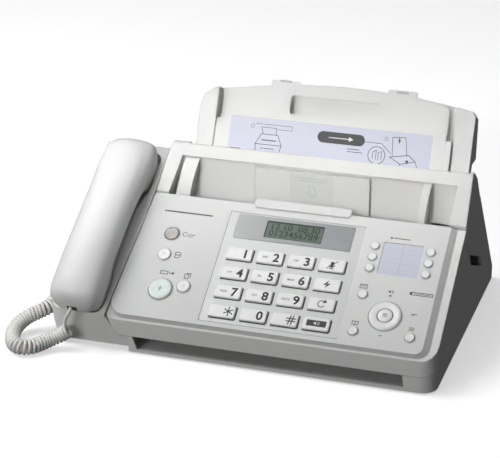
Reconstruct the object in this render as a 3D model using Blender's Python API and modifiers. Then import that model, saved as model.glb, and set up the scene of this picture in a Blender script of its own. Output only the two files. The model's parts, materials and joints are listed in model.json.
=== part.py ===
"""Desktop plain-paper fax machine with a corded handset, built as separate parts.

Units are metres, +Z is up, the operator faces +Y and the origin is on the table under
the middle of the machine. Depth positions are written as a distance back from the front
face, and panel positions as (u, v, w): across, up the slope and out of the panel.
"""
import math

import bmesh
import bpy
from mathutils import Matrix, Vector

# ---------------------------------------------------------------- driving dimensions
GAP = 0.0003                 # clearance between neighbours that touch
WALL = 0.0025                # moulded wall thickness

HALF_WIDTH = 0.1776          # cradle's outer face to the right side is twice this
DEPTH = 0.2616               # main body, front to back
HANDSET_OVERHANG = 0.0137    # handset's mouth end in front of the main body
FRONT_Y = (HANDSET_OVERHANG - DEPTH) / 2   # front face of the main body
BASE_LEFT_X = -0.1010        # left side of the main body at the table
FOOT_HEIGHT = 0.0015

PANEL_SLOPE = math.radians(34.5)
PANEL_FRONT_Z = 0.0364       # panel surface above the table at the front face
PLATE_RISE = 0.004           # control plate above the ledge of the front cover

COVER_SEAM_Z = 0.0160        # lower edge of the front cover at the front
COVER_LEFT_X = (-0.1110, -0.1225)   # left end of the cover's front face, bottom and top
COVER_HEEL = (0.1308, 0.0695)     # lower rear corner of the cover's side, (depth, height)
CREST = (0.1339, 0.1530)          # top of the back cover
BACK_HINGE = (0.1719, 0.1192)     # seam between back cover and base at the rear slope
SLOPE_FOOT = (0.2587, 0.0119)     # lower end of the rear slope
SEAM_FRONT = (0.1180, 0.0985)     # front end of the seam between base and back cover

RECESS_FLOOR = 0.1311        # depth of the document recess wall
RECESS_TOP_Z = 0.1435
PAD_FRONT = 0.1269           # depth of the recess's raised middle pad

TRAY_LEAN = math.radians(65)
TRAY_FOOT = (0.1359, 0.1330)      # lower end of the tray's front face
TRAY_HALF = 0.1285
TRAY_MID_X = 0.0425
TRAY_HEIGHT = 0.0860              # crown above the foot, along the slope
TRAY_THICK = 0.0125
TRAY_COLUMN = 0.0165              # width of the side columns

CRADLE_FRONT = 0.0018        # cradle's front face behind the main front face
CRADLE_BOTTOM_Z = 0.0055
CRADLE_DROP = 0.0035         # cradle's top surface below the panel plane
CRADLE_END = 0.155           # depth of the cradle's upper rear corner
POCKET_DEPTH = 0.0165

HANDSET_SKEW = math.radians(2.4)  # handset and cradle splay from the panel
HANDSET_FOOT_X = -0.1500          # middle of the mouthpiece end

KEY_SIZE = (0.0236, 0.0125)
KEY_PITCH = (0.0285, 0.0201)
KEY_FIRST = (-0.0164, 0.0168)     # middle of the lower left key, (u, v)
KEY_PROUD = 0.0022
BUTTON_FOOT = -0.0055             # underside of every key and button
KEY_CLEAR = 0.0004

NAV_CENTRE = (0.1261, 0.0342)
NAV_OUTER = 0.0145
NAV_INNER = 0.0073

CORD_COIL_RADIUS = 0.0072
CORD_WIRE_RADIUS = 0.0015

PLATEN = (0.1035, 0.0500)         # roller and film axes, (depth, height)
FILM_SUPPLY = (0.1600, 0.0600)
FILM_TAKEUP = (0.0600, 0.0360)
MECHANISM_X = 0.0400              # middle of the paper path
HANDSET_JACK = (0.0740, 0.0360)   # sockets in the cradle's left wall, (depth, height)
LINE_JACK = (0.1350, 0.0360)
HOOK_CENTRE = (0.0, 0.1500)       # in the handset's frame
INLAY_HALF = (0.0631, 0.0579)
INLAY_CENTRE = (0.0270, 0.0637)
LCD_CENTRE = (0.0264, 0.1075)
INLET_X = (0.1120, 0.1400)
INLET_Z = (0.0200, 0.0370)
INLET_FRONT = 0.2180              # depth of the inlet's closed end

# round buttons: name, u, v, radius, proud
ROUND_BUTTONS = [
    ("auto_answer_button", -0.0846, 0.0901, 0.0068, 0.0010),
    ("copy_button", -0.0855, 0.0675, 0.0060, 0.0016),
    ("start_button", -0.0789, 0.0313, 0.0110, 0.0018),
    ("stop_button", -0.0585, 0.0368, 0.0060, 0.0016),
    ("caller_id_button", 0.1020, 0.0530, 0.0043, 0.0016),
    ("phonebook_button", 0.1018, 0.0157, 0.0044, 0.0016),
    ("menu_button", 0.1515, 0.0165, 0.0044, 0.0016),
    ("nav_button", NAV_CENTRE[0], NAV_CENTRE[1], 0.0067, 0.0022),
]
ONE_TOUCH_COLUMNS = (0.1019, 0.1521)
ONE_TOUCH_ROWS = (0.1035, 0.0920, 0.0804)
for column, u in enumerate(ONE_TOUCH_COLUMNS):
    for row, v in enumerate(ONE_TOUCH_ROWS):
        ROUND_BUTTONS.append((f"one_touch_{column * 3 + row + 1}", u, v, 0.0039, 0.0016))

KEY_NAMES = [
    ["key_star", "key_0", "key_hash", "key_handsfree"],
    ["key_7", "key_8", "key_9", "key_redial"],
    ["key_4", "key_5", "key_6", "key_flash"],
    ["key_1", "key_2", "key_3", "key_mute"],
]


# ---------------------------------------------------------------- scene helpers
def clear_scene():
    for obj in list(bpy.data.objects):
        bpy.data.objects.remove(obj, do_unlink=True)


def collection(name):
    made = bpy.data.collections.new(name)
    bpy.context.scene.collection.children.link(made)
    return made


def principled(name, colour, roughness, metallic=0.0):
    mat = bpy.data.materials.new(name)
    mat.use_nodes = True
    shader = mat.node_tree.nodes["Principled BSDF"]
    shader.inputs["Base Color"].default_value = (*colour, 1.0)
    shader.inputs["Roughness"].default_value = roughness
    shader.inputs["Metallic"].default_value = metallic
    return mat


def add_part(name, mesh, mat, parent=None):
    obj = bpy.data.objects.new(name, mesh)
    mesh.materials.append(mat)
    PARTS.objects.link(obj)
    obj.parent = parent
    return obj


def add_cutter(name, mesh, parent=None):
    obj = bpy.data.objects.new(name, mesh)
    CUTTERS.objects.link(obj)
    obj.parent = parent
    obj.display_type = "WIRE"
    obj.hide_render = True
    return obj


def boolean(obj, other, operation="DIFFERENCE"):
    mod = obj.modifiers.new(operation.lower(), "BOOLEAN")
    mod.operation = operation
    mod.object = other
    mod.solver = "EXACT"


def bevel(obj, width, segments=2, angle=35.0):
    mod = obj.modifiers.new("rounding", "BEVEL")
    mod.width = width
    mod.segments = segments
    mod.limit_method = "ANGLE"
    mod.angle_limit = math.radians(angle)
    mod.use_clamp_overlap = True


def to_mesh(bm, name):
    bmesh.ops.recalc_face_normals(bm, faces=bm.faces)
    mesh = bpy.data.meshes.new(name)
    bm.to_mesh(mesh)
    bm.free()
    return mesh


# ---------------------------------------------------------------- shape helpers
def rounded(corners, steps=4):
    """Outline from (x, y, radius) corners, each rounded with an arc."""
    points = []
    count = len(corners)
    for i, (x, y, radius) in enumerate(corners):
        here = Vector((x, y))
        if radius <= 0:
            points.append((x, y))
            continue
        before = (Vector(corners[i - 1][:2]) - here).normalized()
        after = (Vector(corners[(i + 1) % count][:2]) - here).normalized()
        half = before.angle(after) / 2
        centre = here + (before + after).normalized() * (radius / math.sin(half))
        start = here + before * (radius / math.tan(half)) - centre
        turn = start.angle_signed(here + after * (radius / math.tan(half)) - centre)
        for k in range(steps + 1):
            arm = Matrix.Rotation(-turn * k / steps, 2) @ start
            points.append(tuple(centre + arm))
    return points


def rounded_rect(half_u, half_v, radius, steps=3, centre=(0.0, 0.0)):
    cu, cv = centre
    corners = [(cu - half_u, cv - half_v, radius), (cu + half_u, cv - half_v, radius),
               (cu + half_u, cv + half_v, radius), (cu - half_u, cv + half_v, radius)]
    return rounded(corners, steps)


def extrude_outline(bm, outline, low, high, axis="Z"):
    """Prism of a flat outline. The outline lies across the axis that is named."""
    place = {"Z": lambda a, b, c: (a, b, c), "X": lambda a, b, c: (c, a, b),
             "Y": lambda a, b, c: (a, c, b)}[axis]
    verts = [bm.verts.new(place(a, b, low)) for a, b in outline]
    face = bm.faces.new(verts)
    grown = bmesh.ops.extrude_face_region(bm, geom=[face])
    top = [item for item in grown["geom"] if isinstance(item, bmesh.types.BMVert)]
    bmesh.ops.translate(bm, verts=top, vec=Vector(place(0, 0, high - low)))


def prism(name, outline, low, high, axis="Z"):
    bm = bmesh.new()
    extrude_outline(bm, outline, low, high, axis)
    return to_mesh(bm, name)


def block(name, low, high):
    bm = bmesh.new()
    add_block(bm, low, high)
    return to_mesh(bm, name)


def add_block(bm, low, high):
    made = bmesh.ops.create_cube(bm, size=1.0)
    middle = (Vector(low) + Vector(high)) / 2
    size = Vector(high) - Vector(low)
    bmesh.ops.scale(bm, verts=made["verts"], vec=size)
    bmesh.ops.translate(bm, verts=made["verts"], vec=middle)


def loft(name, sections):
    """Closed skin through rings of points that have the same count."""
    bm = bmesh.new()
    rings = [[bm.verts.new(point) for point in section] for section in sections]
    count = len(rings[0])
    for ring, following in zip(rings, rings[1:]):
        for i in range(count):
            j = (i + 1) % count
            bm.faces.new((ring[i], ring[j], following[j], following[i]))
    bm.faces.new(list(reversed(rings[0])))
    bm.faces.new(rings[-1])
    return to_mesh(bm, name)


def turned(name, profile, mat, parent=None, steps=16, axis="Z"):
    """Solid of revolution about its own Z (or X), from (radius, height) points, top first.

    A profile that starts off the axis is a closed section, and the solid is a ring.
    """
    mesh = bpy.data.meshes.new(name)
    points = [(r, 0, h) if axis == "Z" else (h, 0, r) for r, h in profile]
    edges = [(i, i + 1) for i in range(len(points) - 1)]
    if profile[0][0] > 0:
        edges.append((len(points) - 1, 0))
    mesh.from_pydata(points, edges, [])
    obj = add_part(name, mesh, mat, parent)
    mod = obj.modifiers.new("turn", "SCREW")
    mod.axis = axis
    mod.steps = steps
    mod.render_steps = steps
    mod.use_merge_vertices = True
    mod.merge_threshold = 0.00001
    mod.use_smooth_shade = True
    return obj


def side(depth, z):
    """Point of the side view, from a distance back from the front face."""
    return (FRONT_Y + depth, z)


def panel_point(v, w):
    """Side-view point at v up the panel and w out of it."""
    return (FRONT_Y + v * math.cos(PANEL_SLOPE) - w * math.sin(PANEL_SLOPE),
            PANEL_FRONT_Z + v * math.sin(PANEL_SLOPE) + w * math.cos(PANEL_SLOPE))


def tray_point(y, z):
    """Side-view point at y up the tray's plane and z in front of it."""
    return (FRONT_Y + TRAY_FOOT[0] + y * math.cos(TRAY_LEAN) - z * math.sin(TRAY_LEAN),
            TRAY_FOOT[1] + y * math.sin(TRAY_LEAN) + z * math.cos(TRAY_LEAN))


def empty(name, location, rotation=(0, 0, 0), parent=None):
    obj = bpy.data.objects.new(name, None)
    PARTS.objects.link(obj)
    obj.location = location
    obj.rotation_euler = rotation
    obj.parent = parent
    return obj


# ---------------------------------------------------------------- materials
def make_materials():
    shell = (0.78, 0.79, 0.77)
    return {
        "shell": principled("shell_plastic", shell, 0.45),
        "panel": principled("panel_plastic", (0.80, 0.80, 0.78), 0.5),
        "inlay": principled("silver_inlay", (0.66, 0.68, 0.69), 0.4),
        "key": principled("key_plastic", (0.86, 0.86, 0.85), 0.4),
        "start": principled("start_plastic", (0.74, 0.84, 0.79), 0.4),
        "amber": principled("smoked_plastic", (0.42, 0.39, 0.36), 0.35),
        "window": principled("lcd_window", (0.42, 0.45, 0.47), 0.2),
        "rubber": principled("rubber", (0.04, 0.04, 0.04), 0.8),
        "board": principled("circuit_board", (0.05, 0.22, 0.10), 0.5),
        "steel": principled("steel", (0.60, 0.60, 0.60), 0.35, 1.0),
        "dark": principled("dark_plastic", (0.05, 0.05, 0.05), 0.5),
        "film": principled("ink_film", (0.03, 0.03, 0.04), 0.35),
        "cord": principled("cord_plastic", (0.80, 0.79, 0.72), 0.45),
    }


# ---------------------------------------------------------------- base and cradle
def main_plan(left_front, left_rear):
    return rounded([(left_front, FRONT_Y, 0.0015), (HALF_WIDTH, FRONT_Y, 0.014),
                    (HALF_WIDTH, FRONT_Y + DEPTH, 0.005), (left_rear, FRONT_Y + DEPTH, 0.003)])


def inner_plan(left):
    """Plan of the room inside the walls, its front right corner rounded like the outside."""
    return rounded([(left, FRONT_Y + WALL, 0.001), (HALF_WIDTH - WALL, FRONT_Y + WALL, 0.0115),
                    (HALF_WIDTH - WALL, FRONT_Y + DEPTH, 0.002), (left, FRONT_Y + DEPTH, 0.002)])


def base_case(mats):
    """Lower case: floor, side walls, rear slope and the lip under the paper exit."""
    bottom = FOOT_HEIGHT
    outline = [side(0, bottom), side(DEPTH, bottom), side(*SLOPE_FOOT), side(*BACK_HINGE),
               side(*SEAM_FRONT), side(COVER_HEEL[0] + 0.0012, COVER_HEEL[1] - 0.0005),
               side(0, COVER_SEAM_Z - 0.0005)]
    obj = add_part("base_case", prism("base_case", outline, BASE_LEFT_X, HALF_WIDTH, "X"),
                   mats["shell"])
    plan = prism("base_plan", main_plan(BASE_LEFT_X, BASE_LEFT_X), -0.01, 0.2)
    boolean(obj, add_cutter("base_plan", plan), "INTERSECT")

    inside = [side(WALL, bottom + WALL), side(DEPTH - 0.0043, bottom + WALL),
              side(SLOPE_FOOT[0] - 0.0019, SLOPE_FOOT[1] - 0.0016),
              side(0.1605, 0.1286), side(0.08, 0.1286), side(WALL, 0.06)]
    room = add_cutter("base_room", prism("base_room", inside, BASE_LEFT_X + WALL,
                                         HALF_WIDTH - WALL, "X"))
    boolean(room, add_cutter("base_room_plan", prism("base_room_plan", inner_plan(BASE_LEFT_X),
                                                     -0.1, 0.3)), "INTERSECT")
    boolean(obj, room)

    # paper exit: a wide notch over the front lip, with slanted ends
    exit_outline = [(-0.0925, 0.0040), (0.1507, 0.0040), (0.1470, 0.03), (-0.1025, 0.03)]
    paper_exit = prism("paper_exit", exit_outline, FRONT_Y - 0.01, FRONT_Y + 0.006, "Y")
    boolean(obj, add_cutter("paper_exit", paper_exit))

    # hand recess through the right side, sloping down to the rear
    grip = [side(0.1335, 0.0765), side(0.1880, 0.0525), side(0.1950, 0.0400), side(0.1420, 0.0625)]
    notch = prism("side_notch", grip, HALF_WIDTH - 0.006, HALF_WIDTH + 0.01, "X")
    boolean(obj, add_cutter("side_notch", notch))

    # seat of the power inlet in the rear slope
    seat = prism("inlet_seat", inlet_outline(*INLET_Z, 0.010), *INLET_X, "X")
    boolean(obj, add_cutter("inlet_seat", seat))
    return obj


def cradle_shell(mats):
    """Handset cradle on the left: sloping top with a pocket, open underneath."""
    top_front = cradle_top(CRADLE_FRONT)
    top_rear = cradle_top(CRADLE_END)
    outline = [side(CRADLE_FRONT, CRADLE_BOTTOM_Z), side(0.2080, CRADLE_BOTTOM_Z),
               side(CRADLE_END + 0.009, top_rear - 0.006), side(CRADLE_END, top_rear),
               side(CRADLE_FRONT, top_front)]
    obj = add_part("cradle_shell",
                   prism("cradle_shell", outline, -HALF_WIDTH, BASE_LEFT_X, "X"), mats["shell"])
    plan_outline = rounded([(-HALF_WIDTH, FRONT_Y + CRADLE_FRONT, 0.012),
                            (-0.1240, FRONT_Y + CRADLE_FRONT, 0.0),
                            (-0.1152, FRONT_Y + 0.1085, 0.0),
                            (-0.1152, FRONT_Y + 0.215, 0.0),
                            (-HALF_WIDTH, FRONT_Y + 0.215, 0.010)])
    plan = prism("cradle_plan", plan_outline, -0.01, 0.2)
    boolean(obj, add_cutter("cradle_plan", plan), "INTERSECT")

    # the foot of the cradle's right side runs in along the cover's slanted end to the base
    low_x, high_x = COVER_LEFT_X
    low_z, high_z = COVER_SEAM_Z - 0.0008, 0.0305
    toe = prism("cradle_toe", [(-0.1260, high_z), (-0.1260, CRADLE_BOTTOM_Z),
                               (BASE_LEFT_X - 0.0005, CRADLE_BOTTOM_Z),
                               (BASE_LEFT_X - 0.0005, low_z), (low_x - 0.0004, low_z),
                               (high_x - 0.0001, high_z)],
                FRONT_Y + CRADLE_FRONT + 0.0001, FRONT_Y + 0.150, "Y")
    boolean(obj, add_cutter("cradle_toe", toe), "UNION")
    toe_room = prism("toe_room", [(-0.1230, 0.0270), (-0.1230, -0.01),
                                  (BASE_LEFT_X - 0.0005 - WALL, -0.01),
                                  (BASE_LEFT_X - 0.0005 - WALL, low_z - WALL),
                                  (low_x - 0.0018, low_z - WALL)],
                     FRONT_Y + CRADLE_FRONT + WALL, FRONT_Y + 0.150 - WALL, "Y")
    boolean(obj, add_cutter("toe_room", toe_room))

    # lower part of the left wall runs in under the handset shelf
    under = prism("cradle_under", [(-0.20, 0.030), (-HALF_WIDTH, 0.030), (-0.1650, 0.0),
                                   (-0.20, 0.0)], FRONT_Y - 0.02, FRONT_Y + DEPTH, "Y")
    boolean(obj, add_cutter("cradle_under", under))

    # pocket for the handset, narrow under the grip and wide at the earpiece
    mouth, grip, waist, ear = 0.0222, 0.0200, 0.0180, 0.0236
    half_pocket = [(mouth, 0.0005, 0.009), (mouth, 0.0400, 0.0), (grip, 0.0440, 0.0),
                   (waist, 0.1150, 0.0), (grip + 0.0010, 0.1290, 0.0), (ear, 0.1335, 0.0),
                   (ear, 0.1795, 0.010)]
    pocket = rounded(half_pocket + [(-x, y, r) for x, y, r in reversed(half_pocket)])
    cut = prism("handset_pocket", pocket, -POCKET_DEPTH - CRADLE_DROP, 0.02)
    boolean(obj, add_cutter("handset_pocket", cut, HANDSET_FRAME))

    # hollow from below, leaving the walls and the pocket's floor
    floor_w = -(POCKET_DEPTH + CRADLE_DROP + WALL)
    lower = [side(CRADLE_FRONT + WALL, -0.01), side(0.2045, -0.01),
             side(0.1640, 0.1180), panel_point(0.150, floor_w), panel_point(0.017, floor_w),
             side(CRADLE_FRONT + WALL, 0.016)]
    room = prism("cradle_room", lower, -0.1615, -0.1285, "X")
    boolean(obj, add_cutter("cradle_room", room))

    # jacks in the left wall
    for name, depth, z in (("handset_jack_hole", *HANDSET_JACK), ("line_jack_hole", *LINE_JACK)):
        y = FRONT_Y + depth
        hole = block(name, (-HALF_WIDTH - 0.01, y - 0.0062, z - 0.0052),
                     (-0.1640, y + 0.0062, z + 0.0052))
        boolean(obj, add_cutter(name, hole))

    # well of the hook switch in the pocket's floor
    well = prism("hook_well", rounded_rect(0.0055, 0.0085, 0.002, 2, HOOK_CENTRE),
                 floor_w - 0.002, -0.01)
    boolean(obj, add_cutter("hook_well", well, HANDSET_FRAME))
    return obj


def cradle_top(depth):
    """Height of the cradle's sloping top surface at a depth."""
    drop = CRADLE_DROP / math.cos(PANEL_SLOPE)
    return PANEL_FRONT_Z + depth * math.tan(PANEL_SLOPE) - drop


def feet(mats):
    for name, depth in (("rubber_foot_front", 0.020), ("rubber_foot_rear", 0.225)):
        outline = rounded_rect(0.115, 0.006, 0.0055, 4, (0.0400, FRONT_Y + depth))
        mesh = prism(name, outline, 0.0, FOOT_HEIGHT - GAP)
        add_part(name, mesh, mats["rubber"])


# ---------------------------------------------------------------- mechanism
def roller(name, centre, length, radius, shaft_radius, mats, sleeve):
    """Roller on a shaft along X, its origin on the shaft's axis."""
    half = length / 2
    shaft = half + 0.010
    profile = [(0, shaft), (shaft_radius, shaft), (shaft_radius, half), (radius, half),
               (radius, -half), (shaft_radius, -half), (shaft_radius, -shaft), (0, -shaft)]
    obj = turned(name, profile, mats[sleeve], steps=20, axis="X")
    obj.location = (MECHANISM_X, FRONT_Y + centre[0], centre[1])
    return obj


def film_roll(name, centre, radius, mats):
    """Spool of ink film with an end flange and a notched drive hub at the left."""
    half = 0.108
    profile = [(0, half + 0.012), (0.005, half + 0.012), (0.005, half + 0.002),
               (radius + 0.002, half + 0.002), (radius + 0.002, half), (radius, half),
               (radius, -half), (radius + 0.002, -half), (radius + 0.002, -half - 0.002),
               (0.005, -half - 0.002), (0.005, -half - 0.012), (0, -half - 0.012)]
    obj = turned(name, profile, mats["film"], steps=16, axis="X")
    obj.location = (MECHANISM_X, FRONT_Y + centre[0], centre[1])
    return obj


def mechanism(mats):
    roller("platen_roller", PLATEN, 0.218, 0.008, 0.003, mats, "rubber")
    film_roll("film_supply_roll", FILM_SUPPLY, 0.013, mats)
    film_roll("film_takeup_roll", FILM_TAKEUP, 0.009, mats)

    head = prism("thermal_head", rounded([side(0.0860, 0.0420) + (0.001,),
                                          side(0.0945, 0.0420) + (0.001,),
                                          side(0.0945, 0.0570) + (0.001,),
                                          side(0.0860, 0.0600) + (0.001,)], 2),
                 MECHANISM_X - 0.109, MECHANISM_X + 0.109, "X")
    add_part("thermal_head", head, mats["steel"])

    bar = prism("scanner_bar", [side(0.0840, 0.0665), side(0.1000, 0.0665), side(0.1000, 0.0760),
                                side(0.0960, 0.0785), side(0.0880, 0.0785), side(0.0840, 0.0760)],
                MECHANISM_X - 0.112, MECHANISM_X + 0.112, "X")
    add_part("scanner_bar", bar, mats["dark"])

    motor = turned("drive_motor", [(0, 0.032), (0.0015, 0.032), (0.0015, 0.024), (0.005, 0.024),
                                   (0.005, 0.022), (0.0175, 0.022), (0.0175, 0.001),
                                   (0, 0.001)], mats["steel"], steps=20, axis="X")
    motor.location = (BASE_LEFT_X + WALL, FRONT_Y + 0.205, 0.030)

    board = add_part("main_board", block("main_board", (-0.050, FRONT_Y + 0.120, 0.0100),
                                         (0.120, FRONT_Y + 0.190, 0.0116)), mats["board"])
    chips = [((-0.030, 0.130), (0.024, 0.024, 0.003)), ((0.020, 0.150), (0.018, 0.012, 0.003)),
             ((0.070, 0.132), (0.012, 0.030, 0.009)), ((0.100, 0.160), (0.012, 0.018, 0.014))]
    bm = bmesh.new()
    for (x, depth), (sx, sy, sz) in chips:
        add_block(bm, (x, FRONT_Y + depth, 0.0110), (x + sx, FRONT_Y + depth + sy, 0.0116 + sz))
    boolean(board, add_cutter("board_parts", to_mesh(bm, "board_parts")), "UNION")


def jack(name, depth, z, mats):
    """Modular jack body behind a hole in the cradle's left wall, open to the left."""
    y = FRONT_Y + depth
    obj = add_part(name, block(name, (-0.1772, y - 0.0058, z - 0.0048),
                               (-0.1645, y + 0.0058, z + 0.0048)), mats["dark"])
    hollow = block(name + "_mouth", (-0.1850, y - 0.0036, z - 0.0034),
                   (-0.1665, y + 0.0036, z + 0.0030))
    boolean(obj, add_cutter(name + "_mouth", hollow))
    return obj


def inlet_outline(low, high, clearance):
    """Side outline of the socket housing, cut off flush with the rear slope."""
    run = (SLOPE_FOOT[0] - BACK_HINGE[0]) / (BACK_HINGE[1] - SLOPE_FOOT[1])
    rear = [SLOPE_FOOT[0] - (z - SLOPE_FOOT[1]) * run + clearance for z in (low, high)]
    return [side(INLET_FRONT, low), side(rear[0], low), side(rear[1], high),
            side(INLET_FRONT, high)]


def power_inlet(mats):
    """Mains socket, level, with its mouth facing the rear."""
    low, high = INLET_Z
    body = prism("power_inlet", inlet_outline(low + GAP, high - GAP, -0.0008),
                 INLET_X[0] + GAP, INLET_X[1] - GAP, "X")
    obj = add_part("power_inlet", body, mats["dark"])
    mouth = block("inlet_mouth", (INLET_X[0] + 0.0027, FRONT_Y + INLET_FRONT + 0.0030, low + 0.0025),
                  (INLET_X[1] - 0.0027, FRONT_Y + DEPTH, high - 0.0025))
    boolean(obj, add_cutter("inlet_mouth", mouth))
    return obj


# ---------------------------------------------------------------- back cover and paper parts
def back_cover(mats):
    """Upper rear housing: document recess in front, tray pocket behind the crest."""
    profile = [(0.1113, 0.1125), (0.1325, 0.1505), CREST, (0.1383, 0.1540), (0.1418, 0.1525),
               (0.1553, 0.1425), (BACK_HINGE[0] - 0.0002, BACK_HINGE[1] + 0.0006),
               (SEAM_FRONT[0], SEAM_FRONT[1] + 0.0006), (0.1136, 0.1087)]
    left_x = [-0.1138, -0.1060, -0.1045, -0.1045, -0.1045, -0.1050, -0.1080, -0.1110, -0.1128]
    left = [(x, *side(d, z)) for (d, z), x in zip(profile, left_x)]
    right = [(HALF_WIDTH, *side(d, z)) for d, z in profile]
    obj = add_part("back_cover", loft("back_cover", [left, right]), mats["shell"])
    bevel(obj, 0.0012, 2, 50)

    # document recess: a near-vertical wall behind the panel's rear edge
    def recess_end(x_low, x_high):
        return [(x_high, *side(RECESS_FLOOR, RECESS_TOP_Z)), (x_low, *side(RECESS_FLOOR, 0.090)),
                (x_low, *side(0.080, 0.090)), (x_high, *side(0.080, RECESS_TOP_Z))]
    recess = loft("document_recess", [recess_end(-0.1065, -0.0930), recess_end(0.1600, 0.1650)])
    boolean(obj, add_cutter("document_recess", recess))

    # raised middle pad on a web, which the guides' plates slide behind
    pad = block("middle_pad", (-0.0223, FRONT_Y + PAD_FRONT, 0.1045),
                (0.0850, FRONT_Y + PAD_FRONT + 0.0020, 0.1400))
    boolean(obj, add_cutter("middle_pad", pad), "UNION")
    web = block("pad_web", (0.0185, FRONT_Y + PAD_FRONT + 0.0010, 0.1046),
                (0.0440, FRONT_Y + RECESS_FLOOR + 0.0010, 0.1399))
    boolean(obj, add_cutter("pad_web", web), "UNION")

    pocket = [side(0.1353, 0.1800), side(0.1353, 0.1265), tray_point(-0.0011, -0.0131),
              tray_point(0.0580, -0.0131)]
    boolean(obj, add_cutter("tray_pocket", prism("tray_pocket", pocket, TRAY_MID_X - 0.1315,
                                                 TRAY_MID_X + 0.1310, "X")))
    under = [side(0.1343, 0.1240), side(0.1640, 0.1240), side(0.1680, 0.1185),
             side(0.1680, 0.09), side(0.1343, 0.09)]
    boolean(obj, add_cutter("back_room", prism("back_room", under, -0.0900, 0.1735, "X")))
    slot = block("paper_slot", (-0.066, FRONT_Y + 0.1385, 0.120), (0.150, FRONT_Y + 0.1455, 0.14))
    boolean(obj, add_cutter("paper_slot", slot))
    return obj


def document_guide(name, plate_x, fin_x, lean, mats):
    """Thin plate against the recess wall with an upright fin that bulges forward.

    The fin's two faces are given at its top, and it leans left by lean per unit of height.
    """
    wall = RECESS_FLOOR - GAP
    top = RECESS_TOP_Z - 0.0014
    low, high = min(plate_x, *fin_x), max(plate_x, *fin_x)
    obj = add_part(name, block(name, (low, FRONT_Y + wall - 0.0012, 0.1030),
                               (high, FRONT_Y + wall, top + 0.0002)), mats["shell"])
    bow = [(wall, 0.1050), (0.1168, 0.1050), (0.1148, 0.1090), (0.1150, 0.1150), (0.1170, 0.1240),
           (0.1210, 0.1330), (0.1262, 0.1395), (wall, top)]
    ends = [[(x - lean * (top - z), *side(d, z)) for d, z in bow] for x in fin_x]
    boolean(obj, add_cutter(name + "_fin", loft(name + "_fin", ends)), "UNION")
    return obj


def tray_top(x):
    """Crown of the tray's top edge above its foot, at a place across it."""
    t = (x - TRAY_MID_X) / TRAY_HALF
    if t < 0:
        return TRAY_HEIGHT - 0.0150 * abs(t) ** 1.6
    return TRAY_HEIGHT - 0.0125 * t ** 2.2


def tray_outline(left, right, foot, drop, corners, steps=14):
    """Outline in the tray's own plane: straight foot and sides, crowned top."""
    points = [(left, foot), (right, foot)]
    for k in range(steps + 1):
        share = (1 - math.cos(math.pi * k / steps)) / 2
        x = right + (left - right) * share
        height = tray_top(x) - drop
        for edge, corner in ((x - left, corners[0]), (right - x, corners[1])):
            if edge < corner:
                height -= corner - math.sqrt(max(corner ** 2 - (corner - edge) ** 2, 0.0))
        points.append((x, height))
    return points


def paper_tray(mats):
    """Upright tray: crowned back plate with side columns, tabs and rear cheeks."""
    left, right = TRAY_MID_X - TRAY_HALF, TRAY_MID_X + TRAY_HALF
    outline = tray_outline(left, right, -0.0005, 0.0, (0.014, 0.004))
    obj = add_part("paper_tray", prism("paper_tray", outline, -TRAY_THICK, 0.0),
                   mats["shell"], TRAY_FRAME)
    bed = block("paper_bed", (left + TRAY_COLUMN, -0.01, -TRAY_THICK + WALL),
                (right - TRAY_COLUMN, 0.12, 0.01))
    boolean(obj, add_cutter("paper_bed", bed, TRAY_FRAME))

    # side cheeks behind the columns, with a near-vertical rear edge
    inner = 0.002 - TRAY_THICK
    cheek = [tray_point(0.0270, inner), side(0.1765, 0.1520), side(0.1800, 0.1900),
             tray_point(0.0640, inner)]
    for name, low in (("cheek_left", left), ("cheek_right", right - 0.003)):
        boolean(obj, add_cutter(name, prism(name, cheek, low, low + 0.003, "X")), "UNION")

    # two moulded tabs on the crown
    tabs = bmesh.new()
    for x in (TRAY_MID_X - 0.0520, TRAY_MID_X + 0.0580):
        extrude_outline(tabs, rounded_rect(0.0135, 0.0040, 0.0015, 2, (x, tray_top(x))),
                        -TRAY_THICK - 0.0005, -TRAY_THICK + WALL - 0.0001)
    boolean(obj, add_cutter("tray_tabs", to_mesh(tabs, "tray_tabs"), TRAY_FRAME), "UNION")
    return obj


def tension_plate(mats):
    """Plate that presses the paper on the tray: crowned, with a finger window."""
    left, right = TRAY_MID_X - 0.1025, TRAY_MID_X + 0.1045
    outline = tray_outline(left, right, 0.0015, 0.0030, (0.003, 0.003))
    obj = add_part("tension_plate", prism("tension_plate", outline, -0.0035, -0.0012),
                   mats["shell"], TRAY_FRAME)
    wide = rounded_rect(0.1105, 0.0220, 0.001, 2, (TRAY_MID_X - 0.0010, 0.0235))
    boolean(obj, add_cutter("plate_skirt", prism("plate_skirt", wide, -0.0034, -0.0013),
                            TRAY_FRAME), "UNION")
    window = rounded_rect(0.0430, 0.0088, 0.003, 3, (TRAY_MID_X, 0.0640))
    boolean(obj, add_cutter("finger_window", prism("finger_window", window, -0.01, 0.01),
                            TRAY_FRAME))
    return obj


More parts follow.
